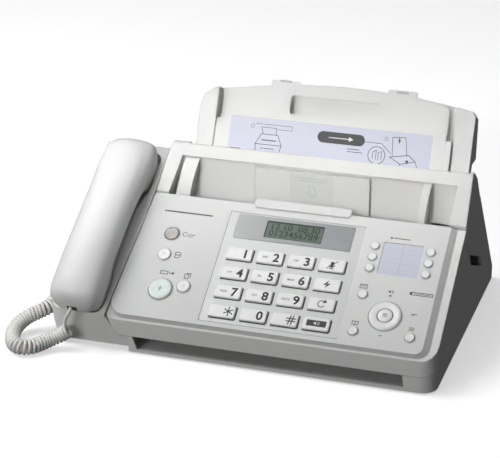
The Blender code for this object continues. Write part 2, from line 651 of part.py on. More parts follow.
# ---------------------------------------------------------------- front cover and controls
def front_cover(mats):
    """Opening front cover: front wall, side cheeks and a ledge around the control plate."""
    ledge_rear = panel_point(0.1335, -PLATE_RISE)
    ledge_front_z = PANEL_FRONT_Z - PLATE_RISE / math.cos(PANEL_SLOPE)
    outline = [side(0, COVER_SEAM_Z), side(0, ledge_front_z), ledge_rear, side(*COVER_HEEL)]
    left_x = [*COVER_LEFT_X, -0.1145, -0.1040]
    left = [(x, *point) for point, x in zip(outline, left_x)]
    right = [(HALF_WIDTH, *point) for point in outline]
    obj = add_part("front_cover", loft("front_cover", [left, right]), mats["shell"])
    plan = prism("cover_plan", rounded([(-0.1235, FRONT_Y, 0.008), (HALF_WIDTH, FRONT_Y, 0.014),
                                        (HALF_WIDTH, 0.05, 0.0), (-0.1235, 0.05, 0.0)]),
                 -0.01, 0.2)
    boolean(obj, add_cutter("cover_plan", plan), "INTERSECT")
    bevel(obj, 0.0016, 2, 40)

    top = -PLATE_RISE - WALL
    inside = [side(WALL, -0.02), side(WALL, 0.0262), panel_point(0.1300, top),
              side(COVER_HEEL[0] - 0.0030, COVER_HEEL[1]), side(COVER_HEEL[0] - 0.0030, -0.02)]
    room = add_cutter("cover_room", prism("cover_room", inside, -0.1005, HALF_WIDTH - WALL, "X"))
    boolean(room, add_cutter("cover_room_plan", prism("cover_room_plan", inner_plan(-0.1020),
                                                      -0.1, 0.3)), "INTERSECT")
    boolean(obj, room)

    window = rounded_rect(0.1325, 0.0590, 0.004, 3, (0.0285, 0.0655))
    boolean(obj, add_cutter("cover_window", prism("cover_window", window, -0.02, 0.02),
                            PANEL_FRAME))
    # behind the ledge the rear edge is only a short lip, so documents can pass
    path = [side(0.100, 0.0300), side(0.150, 0.0300), side(0.150, 0.0985), side(0.100, 0.0985)]
    boolean(obj, add_cutter("document_path", prism("document_path", path, -0.1000, 0.1745, "X")))
    return obj


def operation_panel(mats):
    """Raised control plate with bevelled front and right edges and a hole per button."""
    top = rounded([(-0.1215, 0.0012, 0.014), (0.1654, 0.0012, 0.0075),
                   (0.1654, 0.1325, 0.002), (-0.1130, 0.1325, 0.002)], 5)
    foot = rounded([(-0.1222, -0.0006, 0.015), (0.1700, -0.0006, 0.0105),
                    (0.1700, 0.1328, 0.002), (-0.1138, 0.1328, 0.002)], 5)
    low = -PLATE_RISE + GAP
    mesh = loft("operation_panel", [[(u, v, low) for u, v in foot],
                                    [(u, v, -0.0006) for u, v in top],
                                    [(u + (0.0006 if u < 0 else -0.0006), v, 0.0)
                                     for u, v in top]])
    obj = add_part("operation_panel", mesh, mats["panel"], PANEL_FRAME)

    lip = rounded([(-0.0165, 0.1285, 0.003), (0.0735, 0.1285, 0.003), (0.0735, 0.1372, 0.002),
                   (-0.0165, 0.1372, 0.002)], 3)
    boolean(obj, add_cutter("pull_lip", prism("pull_lip", lip, -0.0022, 0.0022), PANEL_FRAME),
            "UNION")
    seat = rounded_rect(INLAY_HALF[0] + GAP, INLAY_HALF[1] + GAP, 0.0015, 2, INLAY_CENTRE)
    boolean(obj, add_cutter("inlay_seat", prism("inlay_seat", seat, -0.0011, 0.01), PANEL_FRAME))
    card = rounded_rect(0.0180, 0.0168, 0.001, 2, (0.1272, 0.0925))
    boolean(obj, add_cutter("card_seat", prism("card_seat", card, -0.0010, 0.01), PANEL_FRAME))

    holes = bmesh.new()
    for name, u, v, radius, proud in ROUND_BUTTONS:
        if name != "nav_button":
            add_hole(holes, u, v, radius + KEY_CLEAR, 16)
    add_hole(holes, *NAV_CENTRE, NAV_OUTER + KEY_CLEAR, 24)
    for u, v in key_places().values():
        key = rounded_rect(KEY_SIZE[0] / 2 + KEY_CLEAR, KEY_SIZE[1] / 2 + KEY_CLEAR, 0.0012, 1,
                           (u, v))
        extrude_outline(holes, key, -0.01, 0.01)
    window = rounded_rect(0.0280, 0.0094, 0.001, 1, LCD_CENTRE)
    extrude_outline(holes, window, -0.01, 0.01)
    boolean(obj, add_cutter("panel_holes", to_mesh(holes, "panel_holes"), PANEL_FRAME))
    return obj


def add_hole(bm, u, v, radius, segments):
    bmesh.ops.create_cone(bm, cap_ends=True, segments=segments, radius1=radius, radius2=radius,
                          depth=0.02, matrix=Matrix.Translation((u, v, 0)))


def keypad_inlay(mats):
    """Silver film around the keys, with the seat of the display window."""
    outline = rounded_rect(*INLAY_HALF, 0.0012, 2, INLAY_CENTRE)
    obj = add_part("keypad_inlay", prism("keypad_inlay", outline, -0.0008, 0.0), mats["inlay"],
                   PANEL_FRAME)
    holes = bmesh.new()
    for u, v in key_places().values():
        key = rounded_rect(KEY_SIZE[0] / 2 + KEY_CLEAR, KEY_SIZE[1] / 2 + KEY_CLEAR, 0.0012, 1,
                           (u, v))
        extrude_outline(holes, key, -0.01, 0.01)
    extrude_outline(holes, rounded_rect(0.0542 + GAP, 0.0128 + GAP, 0.0006, 1,
                                        (0.0265, 0.1072)), -0.01, 0.01)
    boolean(obj, add_cutter("inlay_holes", to_mesh(holes, "inlay_holes"), PANEL_FRAME))
    return obj


def display(mats):
    outline = rounded_rect(0.0542, 0.0128, 0.0006, 1, (0.0265, 0.1072))
    add_part("lcd_window", prism("lcd_window", outline, -0.0008, 0.0001), mats["window"],
             PANEL_FRAME)
    board = add_part("key_board", block("key_board", (-0.1000, 0.0090, -0.0092),
                                        (0.1580, 0.1220, -0.0076)), mats["board"], PANEL_FRAME)
    glass = block("lcd_glass", (LCD_CENTRE[0] - 0.0310, LCD_CENTRE[1] - 0.0110, -0.0085),
                  (LCD_CENTRE[0] + 0.0310, LCD_CENTRE[1] + 0.0110, -0.0042))
    boolean(board, add_cutter("lcd_glass", glass, PANEL_FRAME), "UNION")


def key_places():
    places = {}
    for row, names in enumerate(KEY_NAMES):
        for column, name in enumerate(names):
            places[name] = (KEY_FIRST[0] + column * KEY_PITCH[0], KEY_FIRST[1] + row * KEY_PITCH[1])
    return places


def keys(mats):
    """Sixteen rectangular keys with rounded corners and slightly drawn-in tops."""
    half_u, half_v = KEY_SIZE[0] / 2, KEY_SIZE[1] / 2
    foot = rounded_rect(half_u, half_v, 0.0010, 1)
    crown = rounded_rect(half_u - 0.0006, half_v - 0.0006, 0.0008, 1)
    mesh = loft("key", [[(u, v, BUTTON_FOOT) for u, v in foot],
                        [(u, v, KEY_PROUD - 0.0006) for u, v in foot],
                        [(u, v, KEY_PROUD) for u, v in crown]])
    mesh.materials.append(mats["key"])
    for name, (u, v) in key_places().items():
        obj = bpy.data.objects.new(name, mesh)
        PARTS.objects.link(obj)
        obj.parent = PANEL_FRAME
        obj.location = (u, v, 0)


def round_buttons(mats):
    for name, u, v, radius, proud in ROUND_BUTTONS:
        finish = {"start_button": "start", "auto_answer_button": "amber"}.get(name, "key")
        edge = min(0.0010, proud)
        profile = [(0, proud), (radius * 0.6, proud - edge * 0.15), (radius - 0.0006, proud - edge * 0.6),
                   (radius, proud - edge), (radius, BUTTON_FOOT), (0, BUTTON_FOOT)]
        obj = turned(name, profile, mats[finish], PANEL_FRAME, steps=16)
        obj.location = (u, v, 0)


def nav_ring(mats):
    """Four-way rocker around the centre button, its origin on the rocking axis."""
    profile = [(NAV_INNER, 0.0012), (NAV_OUTER - 0.0020, 0.0018), (NAV_OUTER, 0.0008),
               (NAV_OUTER, -0.0012), (NAV_OUTER - 0.0006, -0.0045), (NAV_INNER, -0.0045)]
    obj = turned("nav_ring", profile, mats["key"], PANEL_FRAME, steps=24)
    obj.location = (*NAV_CENTRE, 0)


# ---------------------------------------------------------------- handset and cord
def handset_ring(y, half, low, high, widest):
    """One cross-section of the handset: flat foot, leaning sides and a crowned back."""
    points = []
    for k in range(9):
        angle = math.pi * k / 8
        points.append((half * math.cos(angle), y, widest + (high - widest) * math.sin(angle) ** 0.8))
    knee = low + (widest - low) * 0.45
    points += [(-half + 0.0030, y, knee), (-half + 0.0065, y, low),
               (half - 0.0065, y, low), (half - 0.0030, y, knee)]
    return points


HANDSET_SECTIONS = [
    # distance along, half width, underside, back, height of the widest point
    (-0.0045, 0.0130, 0.0030, 0.0135, 0.0080),
    (-0.0028, 0.0185, -0.0005, 0.0200, 0.0100),
    (0.0012, 0.0222, -0.0030, 0.0250, 0.0115),
    (0.0045, 0.0236, -0.0120, 0.0270, 0.0130),
    (0.0100, 0.0245, -0.0168, 0.0288, 0.0140),
    (0.0180, 0.0245, -0.0172, 0.0305, 0.0140),
    (0.0360, 0.0243, -0.0172, 0.0325, 0.0150),
    (0.0420, 0.0240, -0.0060, 0.0332, 0.0160),
    (0.0520, 0.0238, -0.0025, 0.0340, 0.0160),
    (0.0900, 0.0236, -0.0015, 0.0348, 0.0170),
    (0.1250, 0.0240, -0.0025, 0.0340, 0.0160),
    (0.1340, 0.0250, -0.0060, 0.0334, 0.0160),
    (0.1400, 0.0255, -0.0172, 0.0328, 0.0150),
    (0.1620, 0.0255, -0.0172, 0.0295, 0.0140),
    (0.1720, 0.0235, -0.0150, 0.0245, 0.0125),
    (0.1770, 0.0190, -0.0080, 0.0185, 0.0100),
    (0.1785, 0.0130, 0.0000, 0.0140, 0.0080),
]
HANDSET_SPLIT = 0.0120       # parting plane above the panel plane


def handset(mats):
    """Handset in two shells that meet on a plane along its sides."""
    sections = [handset_ring(*row) for row in HANDSET_SECTIONS]
    for name, normal, cut in (("handset_shell", 1, HANDSET_SPLIT),
                              ("handset_base", -1, HANDSET_SPLIT - GAP)):
        mesh = loft(name, sections)
        bm = bmesh.new()
        bm.from_mesh(mesh)
        geometry = bm.verts[:] + bm.edges[:] + bm.faces[:]
        bmesh.ops.bisect_plane(bm, geom=geometry, plane_co=(0, 0, cut),
                               plane_no=(0, 0, normal), clear_inner=True)
        loops = [edge for edge in bm.edges if edge.is_boundary]
        bmesh.ops.contextual_create(bm, geom=loops)
        bmesh.ops.triangulate(bm, faces=[face for face in bm.faces if len(face.verts) > 4])
        bmesh.ops.recalc_face_normals(bm, faces=bm.faces)
        bm.to_mesh(mesh)
        bm.free()
        add_part(name, mesh, mats["key"], HANDSET_FRAME)


def hook_switch(mats):
    outline = rounded_rect(0.0050, 0.0080, 0.0018, 2, HOOK_CENTRE)
    add_part("hook_switch", prism("hook_switch", outline, -0.0240, -0.0176), mats["key"],
             HANDSET_FRAME)


def smooth_path(points, count):
    """Evenly spaced points on a Catmull-Rom curve through the route's points."""
    knots = [Vector(p) for p in points]
    knots = [2 * knots[0] - knots[1]] + knots + [2 * knots[-1] - knots[-2]]
    dense = []
    for i in range(1, len(knots) - 2):
        a, b, c, d = knots[i - 1:i + 3]
        for k in range(24):
            t = k / 24
            dense.append(0.5 * (2 * b + (c - a) * t + (2 * a - 5 * b + 4 * c - d) * t ** 2
                                + (3 * b - a - 3 * c + d) * t ** 3))
    dense.append(knots[-2])
    spans = [0.0]
    for before, after in zip(dense, dense[1:]):
        spans.append(spans[-1] + (after - before).length)
    path = []
    i = 0
    for k in range(count):
        target = spans[-1] * k / (count - 1)
        while i < len(spans) - 2 and spans[i + 1] < target:
            i += 1
        share = (target - spans[i]) / max(spans[i + 1] - spans[i], 1e-9)
        path.append(dense[i].lerp(dense[i + 1], share))
    return path


def tube(name, route, count, radius, resolution, mat):
    curve = bpy.data.curves.new(name, "CURVE")
    curve.dimensions = "3D"
    curve.bevel_depth = radius
    curve.bevel_resolution = resolution
    curve.use_fill_caps = True
    path = smooth_path(route, count)
    spline = curve.splines.new("POLY")
    spline.points.add(len(path) - 1)
    for point, place in zip(spline.points, path):
        point.co = (*place, 1.0)
    curve.materials.append(mat)
    obj = bpy.data.objects.new(name, curve)
    PARTS.objects.link(obj)
    return obj


# middle line of the curly stretch, from its open end in front of the cradle to the base plug
COIL_ROUTE = [
    (-0.1537, -0.1342, 0.0190), (-0.1625, -0.1353, 0.0132), (-0.1703, -0.1398, 0.0098),
    (-0.1764, -0.1468, 0.0083), (-0.1818, -0.1535, 0.0078), (-0.1885, -0.1570, 0.0078),
    (-0.1956, -0.1550, 0.0078), (-0.2014, -0.1486, 0.0078), (-0.2057, -0.1402, 0.0079),
    (-0.2087, -0.1308, 0.0087), (-0.2086, -0.1205, 0.0108), (-0.2043, -0.1116, 0.0143),
    (-0.1967, -0.1055, 0.0178), (-0.1898, -0.0995, 0.0206), (-0.1862, -0.0914, 0.0232),
    (-0.1858, -0.0815, 0.0262), (-0.1868, -0.0715, 0.0300), (-0.1906, -0.0615, 0.0333),
    (-0.1942, -0.0510, 0.0352),
]
# straight lead from the handset's socket down to the first turn of the curl
LEAD_ROUTE = [
    (-0.1503, -0.1344, 0.0422), (-0.1511, -0.1360, 0.0388), (-0.1536, -0.1363, 0.0342),
    (-0.1552, -0.1362, 0.0308), (-0.1560, -0.1364, 0.0274),
]


def cord(mats):
    tube("cord_coil", COIL_ROUTE, 28, CORD_COIL_RADIUS, 3, mats["cord"])
    tube("cord_lead", LEAD_ROUTE, 10, CORD_WIRE_RADIUS, 2, mats["cord"])
    y = FRONT_Y + HANDSET_JACK[0]
    z = HANDSET_JACK[1]
    add_part("base_plug", block("base_plug", (-0.1860, y - 0.0032, z - 0.0030),
                                (-0.1668, y + 0.0032, z + 0.0027)), mats["cord"])


# ---------------------------------------------------------------- assembly
clear_scene()
PARTS = collection("fax_machine")
CUTTERS = collection("cutters")
PANEL_FRAME = empty("panel_frame", (0, FRONT_Y, PANEL_FRONT_Z), (PANEL_SLOPE, 0, 0))
HANDSET_FRAME = empty("handset_frame", (HANDSET_FOOT_X, 0, 0), (0, 0, -HANDSET_SKEW), PANEL_FRAME)
TRAY_FRAME = empty("tray_frame", (0, *side(*TRAY_FOOT)), (TRAY_LEAN, 0, 0))

MATS = make_materials()
base_case(MATS)
cradle_shell(MATS)
feet(MATS)
mechanism(MATS)
jack("line_jack", *LINE_JACK, MATS)
power_inlet(MATS)
back_cover(MATS)
document_guide("document_guide_left", -0.0235, (-0.0895, -0.0761), 0.17, MATS)
document_guide("document_guide_right", 0.0860, (0.1345, 0.1415), 0.08, MATS)
paper_tray(MATS)
tension_plate(MATS)
front_cover(MATS)
operation_panel(MATS)
keypad_inlay(MATS)
display(MATS)
keys(MATS)
round_buttons(MATS)
nav_ring(MATS)
handset(MATS)
hook_switch(MATS)
cord(MATS)
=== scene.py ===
import json
import math

import bmesh
import bpy
from mathutils import Matrix, Vector


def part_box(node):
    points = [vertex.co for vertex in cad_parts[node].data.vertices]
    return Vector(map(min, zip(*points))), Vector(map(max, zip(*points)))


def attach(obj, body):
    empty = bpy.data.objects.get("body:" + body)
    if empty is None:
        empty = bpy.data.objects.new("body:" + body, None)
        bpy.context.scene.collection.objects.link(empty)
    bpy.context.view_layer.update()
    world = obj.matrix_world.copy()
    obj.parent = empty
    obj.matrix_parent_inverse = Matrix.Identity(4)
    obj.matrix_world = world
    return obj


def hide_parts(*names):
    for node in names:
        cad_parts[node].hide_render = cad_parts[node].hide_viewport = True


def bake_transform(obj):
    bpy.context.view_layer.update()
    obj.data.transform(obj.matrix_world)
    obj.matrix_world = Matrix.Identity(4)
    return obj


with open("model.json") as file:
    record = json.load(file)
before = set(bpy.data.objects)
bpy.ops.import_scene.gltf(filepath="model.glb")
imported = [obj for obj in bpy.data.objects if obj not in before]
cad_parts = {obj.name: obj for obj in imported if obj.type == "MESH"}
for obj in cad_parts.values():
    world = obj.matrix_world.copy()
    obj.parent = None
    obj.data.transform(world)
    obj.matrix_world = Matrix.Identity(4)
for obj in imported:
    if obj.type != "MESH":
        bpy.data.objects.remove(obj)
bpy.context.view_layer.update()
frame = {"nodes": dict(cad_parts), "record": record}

# ---- frames, in metres
PANEL_SLOPE = math.radians(34.5)
PANEL_FRONT_Z = 0.0364
HANDSET_SKEW = math.radians(2.4)
HANDSET_FOOT_X = -0.1500
TRAY_LEAN = math.radians(65)
FRONT_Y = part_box("base_case")[0].y

PANEL = Matrix.Translation((0, FRONT_Y, PANEL_FRONT_Z)) @ Matrix.Rotation(PANEL_SLOPE, 4, "X")
HANDSET = PANEL @ Matrix.Translation((HANDSET_FOOT_X, 0, 0)) @ Matrix.Rotation(-HANDSET_SKEW, 4, "Z")
TRAY = Matrix.Translation((0, FRONT_Y + 0.1359, 0.1330)) @ Matrix.Rotation(TRAY_LEAN, 4, "X")
FACING_FRONT = Matrix.Rotation(math.radians(90), 4, "X")

INK = 0.00005                # thickness of a printed mark
SHEET = 0.00012              # thickness of a paper or foil label
LIFT = 0.00003               # air under a print, so that two faces never coincide
CARD = 0.0003                # thickness of a card or a screw head
FINE, STROKE, BOLD = 0.0004, 0.0005, 0.0006      # widths of a drawn line


def link(obj):
    bpy.context.scene.collection.objects.link(obj)


def panel(u, v, w=0.0):
    return PANEL @ Matrix.Translation((u, v, w))


# ---- camera
def make_camera():
    data = bpy.data.cameras.new("camera")
    data.lens = 133.7
    data.sensor_width = 36
    camera = bpy.data.objects.new("camera", data)
    camera.location = (0.4545, -1.5069, 0.7413)
    camera.rotation_euler = (math.radians(67.3), 0, math.radians(17.7))
    link(camera)
    bpy.context.scene.camera = camera


# ---- cord
COIL_RADIUS = 0.0072         # outside of the curl
WIRE_RADIUS = 0.0015
TURN_POINTS = 14
CURL_STEP, LEAD_STEP = 0.0006, 0.0012
START_ANGLE = math.radians(125)
PITCH = 0.00315              # of the turns where the curl runs straight
WIDEST_PITCH = 0.00345       # at a bend, where the turns fan open on the outside
BEND_REACH = 6               # points looked at on each side to find the bend of the curl
BEND_OPENING = 0.3           # share of a bend that goes into wider turns

# middle line of the curl, from its open end in front of the cradle to the cradle's left wall
COIL_ROUTE = [
    (-0.1537, -0.1342, 0.0190), (-0.1625, -0.1353, 0.0132), (-0.1703, -0.1398, 0.0098),
    (-0.1764, -0.1468, 0.0083), (-0.1818, -0.1535, 0.0078), (-0.1885, -0.1570, 0.0078),
    (-0.1956, -0.1550, 0.0078), (-0.2014, -0.1486, 0.0078), (-0.2057, -0.1402, 0.0079),
    (-0.2087, -0.1308, 0.0087), (-0.2086, -0.1205, 0.0108), (-0.2043, -0.1116, 0.0143),
    (-0.1967, -0.1055, 0.0178), (-0.1898, -0.0995, 0.0206), (-0.1862, -0.0914, 0.0232),
    (-0.1858, -0.0815, 0.0262), (-0.1868, -0.0715, 0.0300),
]
# straight lead from the handset's socket down to the first turn of the curl
LEAD_ROUTE = [
    (-0.1503, -0.1344, 0.0422), (-0.1511, -0.1360, 0.0388), (-0.1536, -0.1363, 0.0342),
    (-0.1552, -0.1362, 0.0308), (-0.1560, -0.1364, 0.0272),
]


def smooth_path(points, step):
    """Points every step along a Catmull-Rom curve through the route's points."""
    knots = [Vector(p) for p in points]
    knots = [2 * knots[0] - knots[1]] + knots + [2 * knots[-1] - knots[-2]]
    dense = []
    for i in range(1, len(knots) - 2):
        a, b, c, d = knots[i - 1:i + 3]
        for k in range(40):
            t = k / 40
            dense.append(0.5 * (2 * b + (c - a) * t + (2 * a - 5 * b + 4 * c - d) * t ** 2
                                + (3 * b - a - 3 * c + d) * t ** 3))
    dense.append(knots[-2])
    path = [dense[0]]
    carried = 0.0
    for before, after in zip(dense, dense[1:]):
        carried += (after - before).length
        if carried >= step:
            path.append(after)
            carried = 0.0
    return path


def helix(path, radius):
    """Curl round a path. The turns open a little at a bend, on its outer side."""
    points = []
    angle = START_ANGLE
    normal = (path[1] - path[0]).cross(Vector((0, 0, 1))).normalized()
    for i in range(len(path) - 1):
        here, following = path[i], path[i + 1]
        tangent = (following - here).normalized()
        normal = (normal - tangent * normal.dot(tangent)).normalized()
        upward = normal.cross(tangent)
        back = here - path[max(i - BEND_REACH, 0)]
        ahead = path[min(i + BEND_REACH, len(path) - 1)] - here
        bend = back.angle(ahead) / ahead.length if i >= BEND_REACH else 0.0
        pitch = min(PITCH * (1 + BEND_OPENING * radius * bend), WIDEST_PITCH)
        turn = (following - here).length / pitch * 2 * math.pi
        steps = max(1, round(turn / (2 * math.pi / TURN_POINTS)))
        for k in range(steps):
            share = k / steps
            a = angle + turn * share
            arm = normal * math.cos(a) + upward * math.sin(a)
            points.append(here.lerp(following, share) + arm * radius)
        angle += turn
    return points


def make_cord():
    """One wire: a short lead from the handset, the curl, and its end in the base plug."""
    curl = helix(smooth_path(COIL_ROUTE, CURL_STEP), COIL_RADIUS - WIRE_RADIUS)
    entry = [Vector(p) for p in LEAD_ROUTE] + [curl[0]]
    low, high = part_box("base_plug")
    middle = (low + high) / 2
    exit_route = [curl[-1], Vector((-0.1905, -0.0590, 0.0345)),
                  Vector((low.x - 0.0055, middle.y - 0.0030, middle.z)),
                  Vector((low.x - 0.0030, middle.y, middle.z)),
                  Vector((low.x + 0.0010, middle.y, middle.z))]
    points = smooth_path(entry, LEAD_STEP)[:-1] + curl + smooth_path(exit_route, LEAD_STEP)[1:]

    curve = bpy.data.curves.new("curly_cord", "CURVE")
    curve.dimensions = "3D"
    curve.bevel_depth = WIRE_RADIUS
    curve.bevel_resolution = 2
    curve.use_fill_caps = True
    spline = curve.splines.new("POLY")
    spline.points.add(len(points) - 1)
    for point, place in zip(spline.points, points):
        point.co = (*place, 1.0)
    spline.use_smooth = True
    holder = bpy.data.objects.new("cord_route", curve)
    link(holder)
    depsgraph = bpy.context.evaluated_depsgraph_get()
    tube = bpy.data.meshes.new_from_object(holder.evaluated_get(depsgraph))
    bpy.data.objects.remove(holder, do_unlink=True)
    obj = bpy.data.objects.new("curly_cord", tube)
    link(obj)
    tube.materials.clear()
    tube.materials.append(MATERIALS["cord_plastic"])
    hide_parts("cord_coil", "cord_lead")
    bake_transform(obj)
    return obj


# ---- materials
class Shader:
    """Short way to build a Principled material node by node."""

    def __init__(self, name):
        self.mat = bpy.data.materials.new(name)
        self.mat.use_nodes = True
        self.nodes = self.mat.node_tree.nodes
        self.links = self.mat.node_tree.links
        self.bsdf = self.nodes["Principled BSDF"]
        self.place = self.add("ShaderNodeTexCoord").outputs["Object"]

    def add(self, kind, values=None, **props):
        made = self.nodes.new(kind)
        for key, value in props.items():
            setattr(made, key, value)
        for socket, value in (values or {}).items():
            self.feed(made.inputs[socket], value)
        return made

    def feed(self, socket, value):
        if isinstance(value, bpy.types.NodeSocket):
            self.links.new(value, socket)
        else:
            socket.default_value = value

    def set(self, **values):
        for key, value in values.items():
            self.feed(self.bsdf.inputs[key.replace("_", " ")], value)

    def stretched(self, scale):
        return self.add("ShaderNodeMapping", {"Vector": self.place, "Scale": scale}).outputs[0]

    def noise(self, scale, detail=2.0, roughness=0.5, vector=None):
        made = self.add("ShaderNodeTexNoise", {"Vector": vector or self.place, "Scale": scale,
                                               "Detail": detail, "Roughness": roughness})
        return made.outputs["Fac"]

    def span(self, value, low, high, start=0.3, end=0.7):
        made = self.add("ShaderNodeMapRange", {"Value": value, "From Min": start, "From Max": end,
                                               "To Min": low, "To Max": high})
        return made.outputs["Result"]

    def mix(self, share, first, second):
        made = self.add("ShaderNodeMix", data_type="RGBA")
        self.feed(made.inputs["Factor"], share)
        self.feed(made.inputs["A"], first)
        self.feed(made.inputs["B"], second)
        return made.outputs["Result"]

    def vary(self, value, colour, low, high):
        """Colour that wanders between two strengths of itself."""
        return self.mix(self.span(value, 0.0, 1.0), scaled(colour, low), scaled(colour, high))

    def bump(self, height, distance, strength=1.0, under=None):
        values = {"Height": height, "Distance": distance, "Strength": strength}
        made = self.add("ShaderNodeBump", values)
        if under is not None:
            self.feed(made.inputs["Normal"], under)
        return made.outputs["Normal"]

    def corners(self, distance):
        made = self.add("ShaderNodeAmbientOcclusion", {"Distance": distance}, samples=6)
        return made.outputs["AO"]


def rgb(r, g, b):
    return (r, g, b, 1.0)


def scaled(colour, factor, tint=(1.0, 1.0, 1.0)):
    return rgb(*(c * factor * t for c, t in zip(colour, tint)))


def moulded(name, colour, roughness, grain=0.00035, depth=0.00003, coat=0.0, shade_and_dust_share=0.22,
            subsurface=0.0, ripple=0.25):
    """Moulded plastic: spark-eroded grain, faint flow marks, dust and painted shade in the corners."""
    s = Shader(name)
    flow = s.noise(9.0, 3.0, 0.55)
    body = s.vary(flow, colour, 0.985, 1.01)
    specks = s.noise(420.0, 2.0, 0.6)
    body = s.mix(s.span(specks, 0.0, 0.10, 0.60, 0.78), body, scaled(colour, 0.82))
    # dust and painted shade: the colour turns darker and warmer where the ambient occlusion finds close
    # surfaces
    if shade_and_dust_share > 0:
        dust_and_shade = s.span(s.corners(0.004), shade_and_dust_share, 0.0, 0.15, 0.80)
        body = s.mix(dust_and_shade, body, scaled(colour, 0.45, (1.0, 0.98, 0.92)))
    wear = s.noise(55.0, 4.0, 0.6)
    s.set(Base_Color=body,
          Roughness=s.span(wear, roughness - 0.05, roughness + 0.07))
    pebble = s.noise(1.0 / grain, 2.0, 0.6)
    first = s.bump(s.noise(30.0, 2.0, 0.4), 0.00025, ripple)
    s.set(Normal=s.bump(pebble, depth, 0.9, first))
    if coat > 0:
        s.set(Coat_Weight=coat, Coat_Roughness=0.18)
    if subsurface > 0:
        s.set(Subsurface_Weight=subsurface, Subsurface_Scale=0.002)
    return s.mat


def printed(name, colour, fade=0.10):
    """Screen-printed ink with slightly uneven cover."""
    s = Shader(name)
    cover = s.noise(900.0, 3.0, 0.65)
    s.set(Base_Color=s.vary(cover, colour, 1 - fade, 1 + fade),
          Roughness=s.span(s.noise(300.0), 0.42, 0.60))
    s.set(Normal=s.bump(cover, 0.00001, 0.5))
    return s.mat


def paper(name, colour):
    """Coated label paper with fine fibres under a thin film."""
    s = Shader(name)
    fibres = s.noise(260.0, 5.0, 0.7, s.stretched((1.0, 4.0, 1.0)))
    blotch = s.noise(22.0, 2.0, 0.5)
    tint = s.vary(fibres, colour, 0.965, 1.015)
    s.set(Base_Color=s.mix(s.span(blotch, 0.0, 0.3), tint, scaled(colour, 0.95)),
          Roughness=s.span(fibres, 0.40, 0.52), Coat_Weight=0.15, Coat_Roughness=0.25)
    s.set(Normal=s.bump(fibres, 0.00002, 0.5))
    return s.mat


def silver_film():
    """Silver-grey printed film with fine metallic flake."""
    s = Shader("silver_inlay_film")
    base = (0.62, 0.635, 0.625)
    flake = s.noise(2600.0, 1.0, 0.5)
    sweep = s.noise(6.0, 2.0, 0.5)
    colour = s.mix(s.span(flake, 0.0, 0.6, 0.35, 0.75), scaled(base, 0.94), scaled(base, 1.10))
    s.set(Base_Color=s.mix(s.span(sweep, 0.0, 0.5), colour, scaled(base, 0.95)),
          Metallic=s.span(flake, 0.10, 0.35), Roughness=s.span(s.noise(140.0), 0.36, 0.48))
    s.set(Normal=s.bump(flake, 0.000008, 0.6))
    return s.mat


def display_strip():
    """Smoky window strip, with painted light that falls off from its left end to its right end."""
    s = Shader("display_strip")
    low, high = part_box("lcd_window")
    across = s.add("ShaderNodeSeparateXYZ", {"Vector": s.place}).outputs["X"]
    share = s.span(across, 0.0, 1.0, low.x, high.x)
    # painted light falloff: lighter at the left end, darker at the right
    painted_falloff = s.mix(share, rgb(0.42, 0.43, 0.425), rgb(0.27, 0.285, 0.30))
    haze = s.noise(35.0, 4.0, 0.6)
    s.set(Base_Color=s.mix(s.span(haze, 0.0, 0.25), painted_falloff, rgb(0.50, 0.51, 0.52)),
          Roughness=s.span(s.noise(80.0, 3.0), 0.10, 0.22), Coat_Weight=0.5, Coat_Roughness=0.06)
    s.set(Normal=s.bump(s.noise(18.0), 0.00015, 0.2))
    return s.mat


def liquid_crystal():
    """Grey-green reflective display with its faint dot grid."""
    s = Shader("liquid_crystal")
    grid = s.add("ShaderNodeTexBrick", {"Vector": s.place, "Scale": 900.0, "Mortar Size": 0.012,
                                        "Brick Width": 0.6, "Row Height": 0.6,
                                        "Color1": rgb(0.120, 0.165, 0.130),
                                        "Color2": rgb(0.112, 0.155, 0.123),
                                        "Mortar": rgb(0.085, 0.120, 0.095)}, offset=0.0)
    cloud = s.noise(60.0, 3.0)
    s.set(Base_Color=s.mix(s.span(cloud, 0.0, 0.3), grid.outputs["Color"], rgb(0.145, 0.195, 0.155)),
          Roughness=s.span(cloud, 0.16, 0.26), Coat_Weight=0.6, Coat_Roughness=0.05)
    return s.mat


def vinyl():
    """Soft ivory vinyl of the curly cord, with painted shade between its turns."""
    s = Shader("cord_vinyl")
    colour = (0.975, 0.97, 0.94)
    mottle = s.noise(40.0, 3.0, 0.6)
    tint = s.vary(mottle, colour, 0.95, 1.03)
    # painted shade in the hollows between the turns, with a dust tint: the colour falls to a fifth
    # where the ambient occlusion finds close surfaces
    dust_and_shade = s.span(s.corners(0.004), 0.85, 0.0, 0.02, 0.22)
    s.set(Base_Color=s.mix(dust_and_shade, tint, scaled(colour, 0.20, (1.0, 0.97, 0.90))),
          Roughness=s.span(s.noise(500.0), 0.32, 0.46), Subsurface_Weight=0.15,
          Subsurface_Scale=0.0015)
    s.set(Normal=s.bump(s.noise(1500.0), 0.00002, 0.6))
    return s.mat


def smoked(name, colour):
    """Tinted see-through cap over a lamp or sensor."""
    s = Shader(name)
    depth = s.noise(160.0, 2.0)
    s.set(Base_Color=s.vary(depth, colour, 0.9, 1.12),
          Roughness=s.span(s.noise(60.0, 3.0), 0.16, 0.28), Coat_Weight=0.7, Coat_Roughness=0.08,
          Subsurface_Weight=0.2, Subsurface_Scale=0.002)
    s.set(Normal=s.bump(s.noise(700.0), 0.00001, 0.4))
    return s.mat


def clear_plastic():
    """Clear polycarbonate of the modular plug, with moulding haze."""
    s = Shader("clear_polycarbonate")
    haze = s.noise(220.0, 3.0)
    s.set(Base_Color=s.mix(s.span(haze, 0.0, 1.0), rgb(0.86, 0.87, 0.84), rgb(0.93, 0.93, 0.91)),
          Roughness=s.span(haze, 0.08, 0.22), Transmission_Weight=0.75, IOR=1.58)
    s.set(Normal=s.bump(s.noise(90.0), 0.0001, 0.3))
    return s.mat


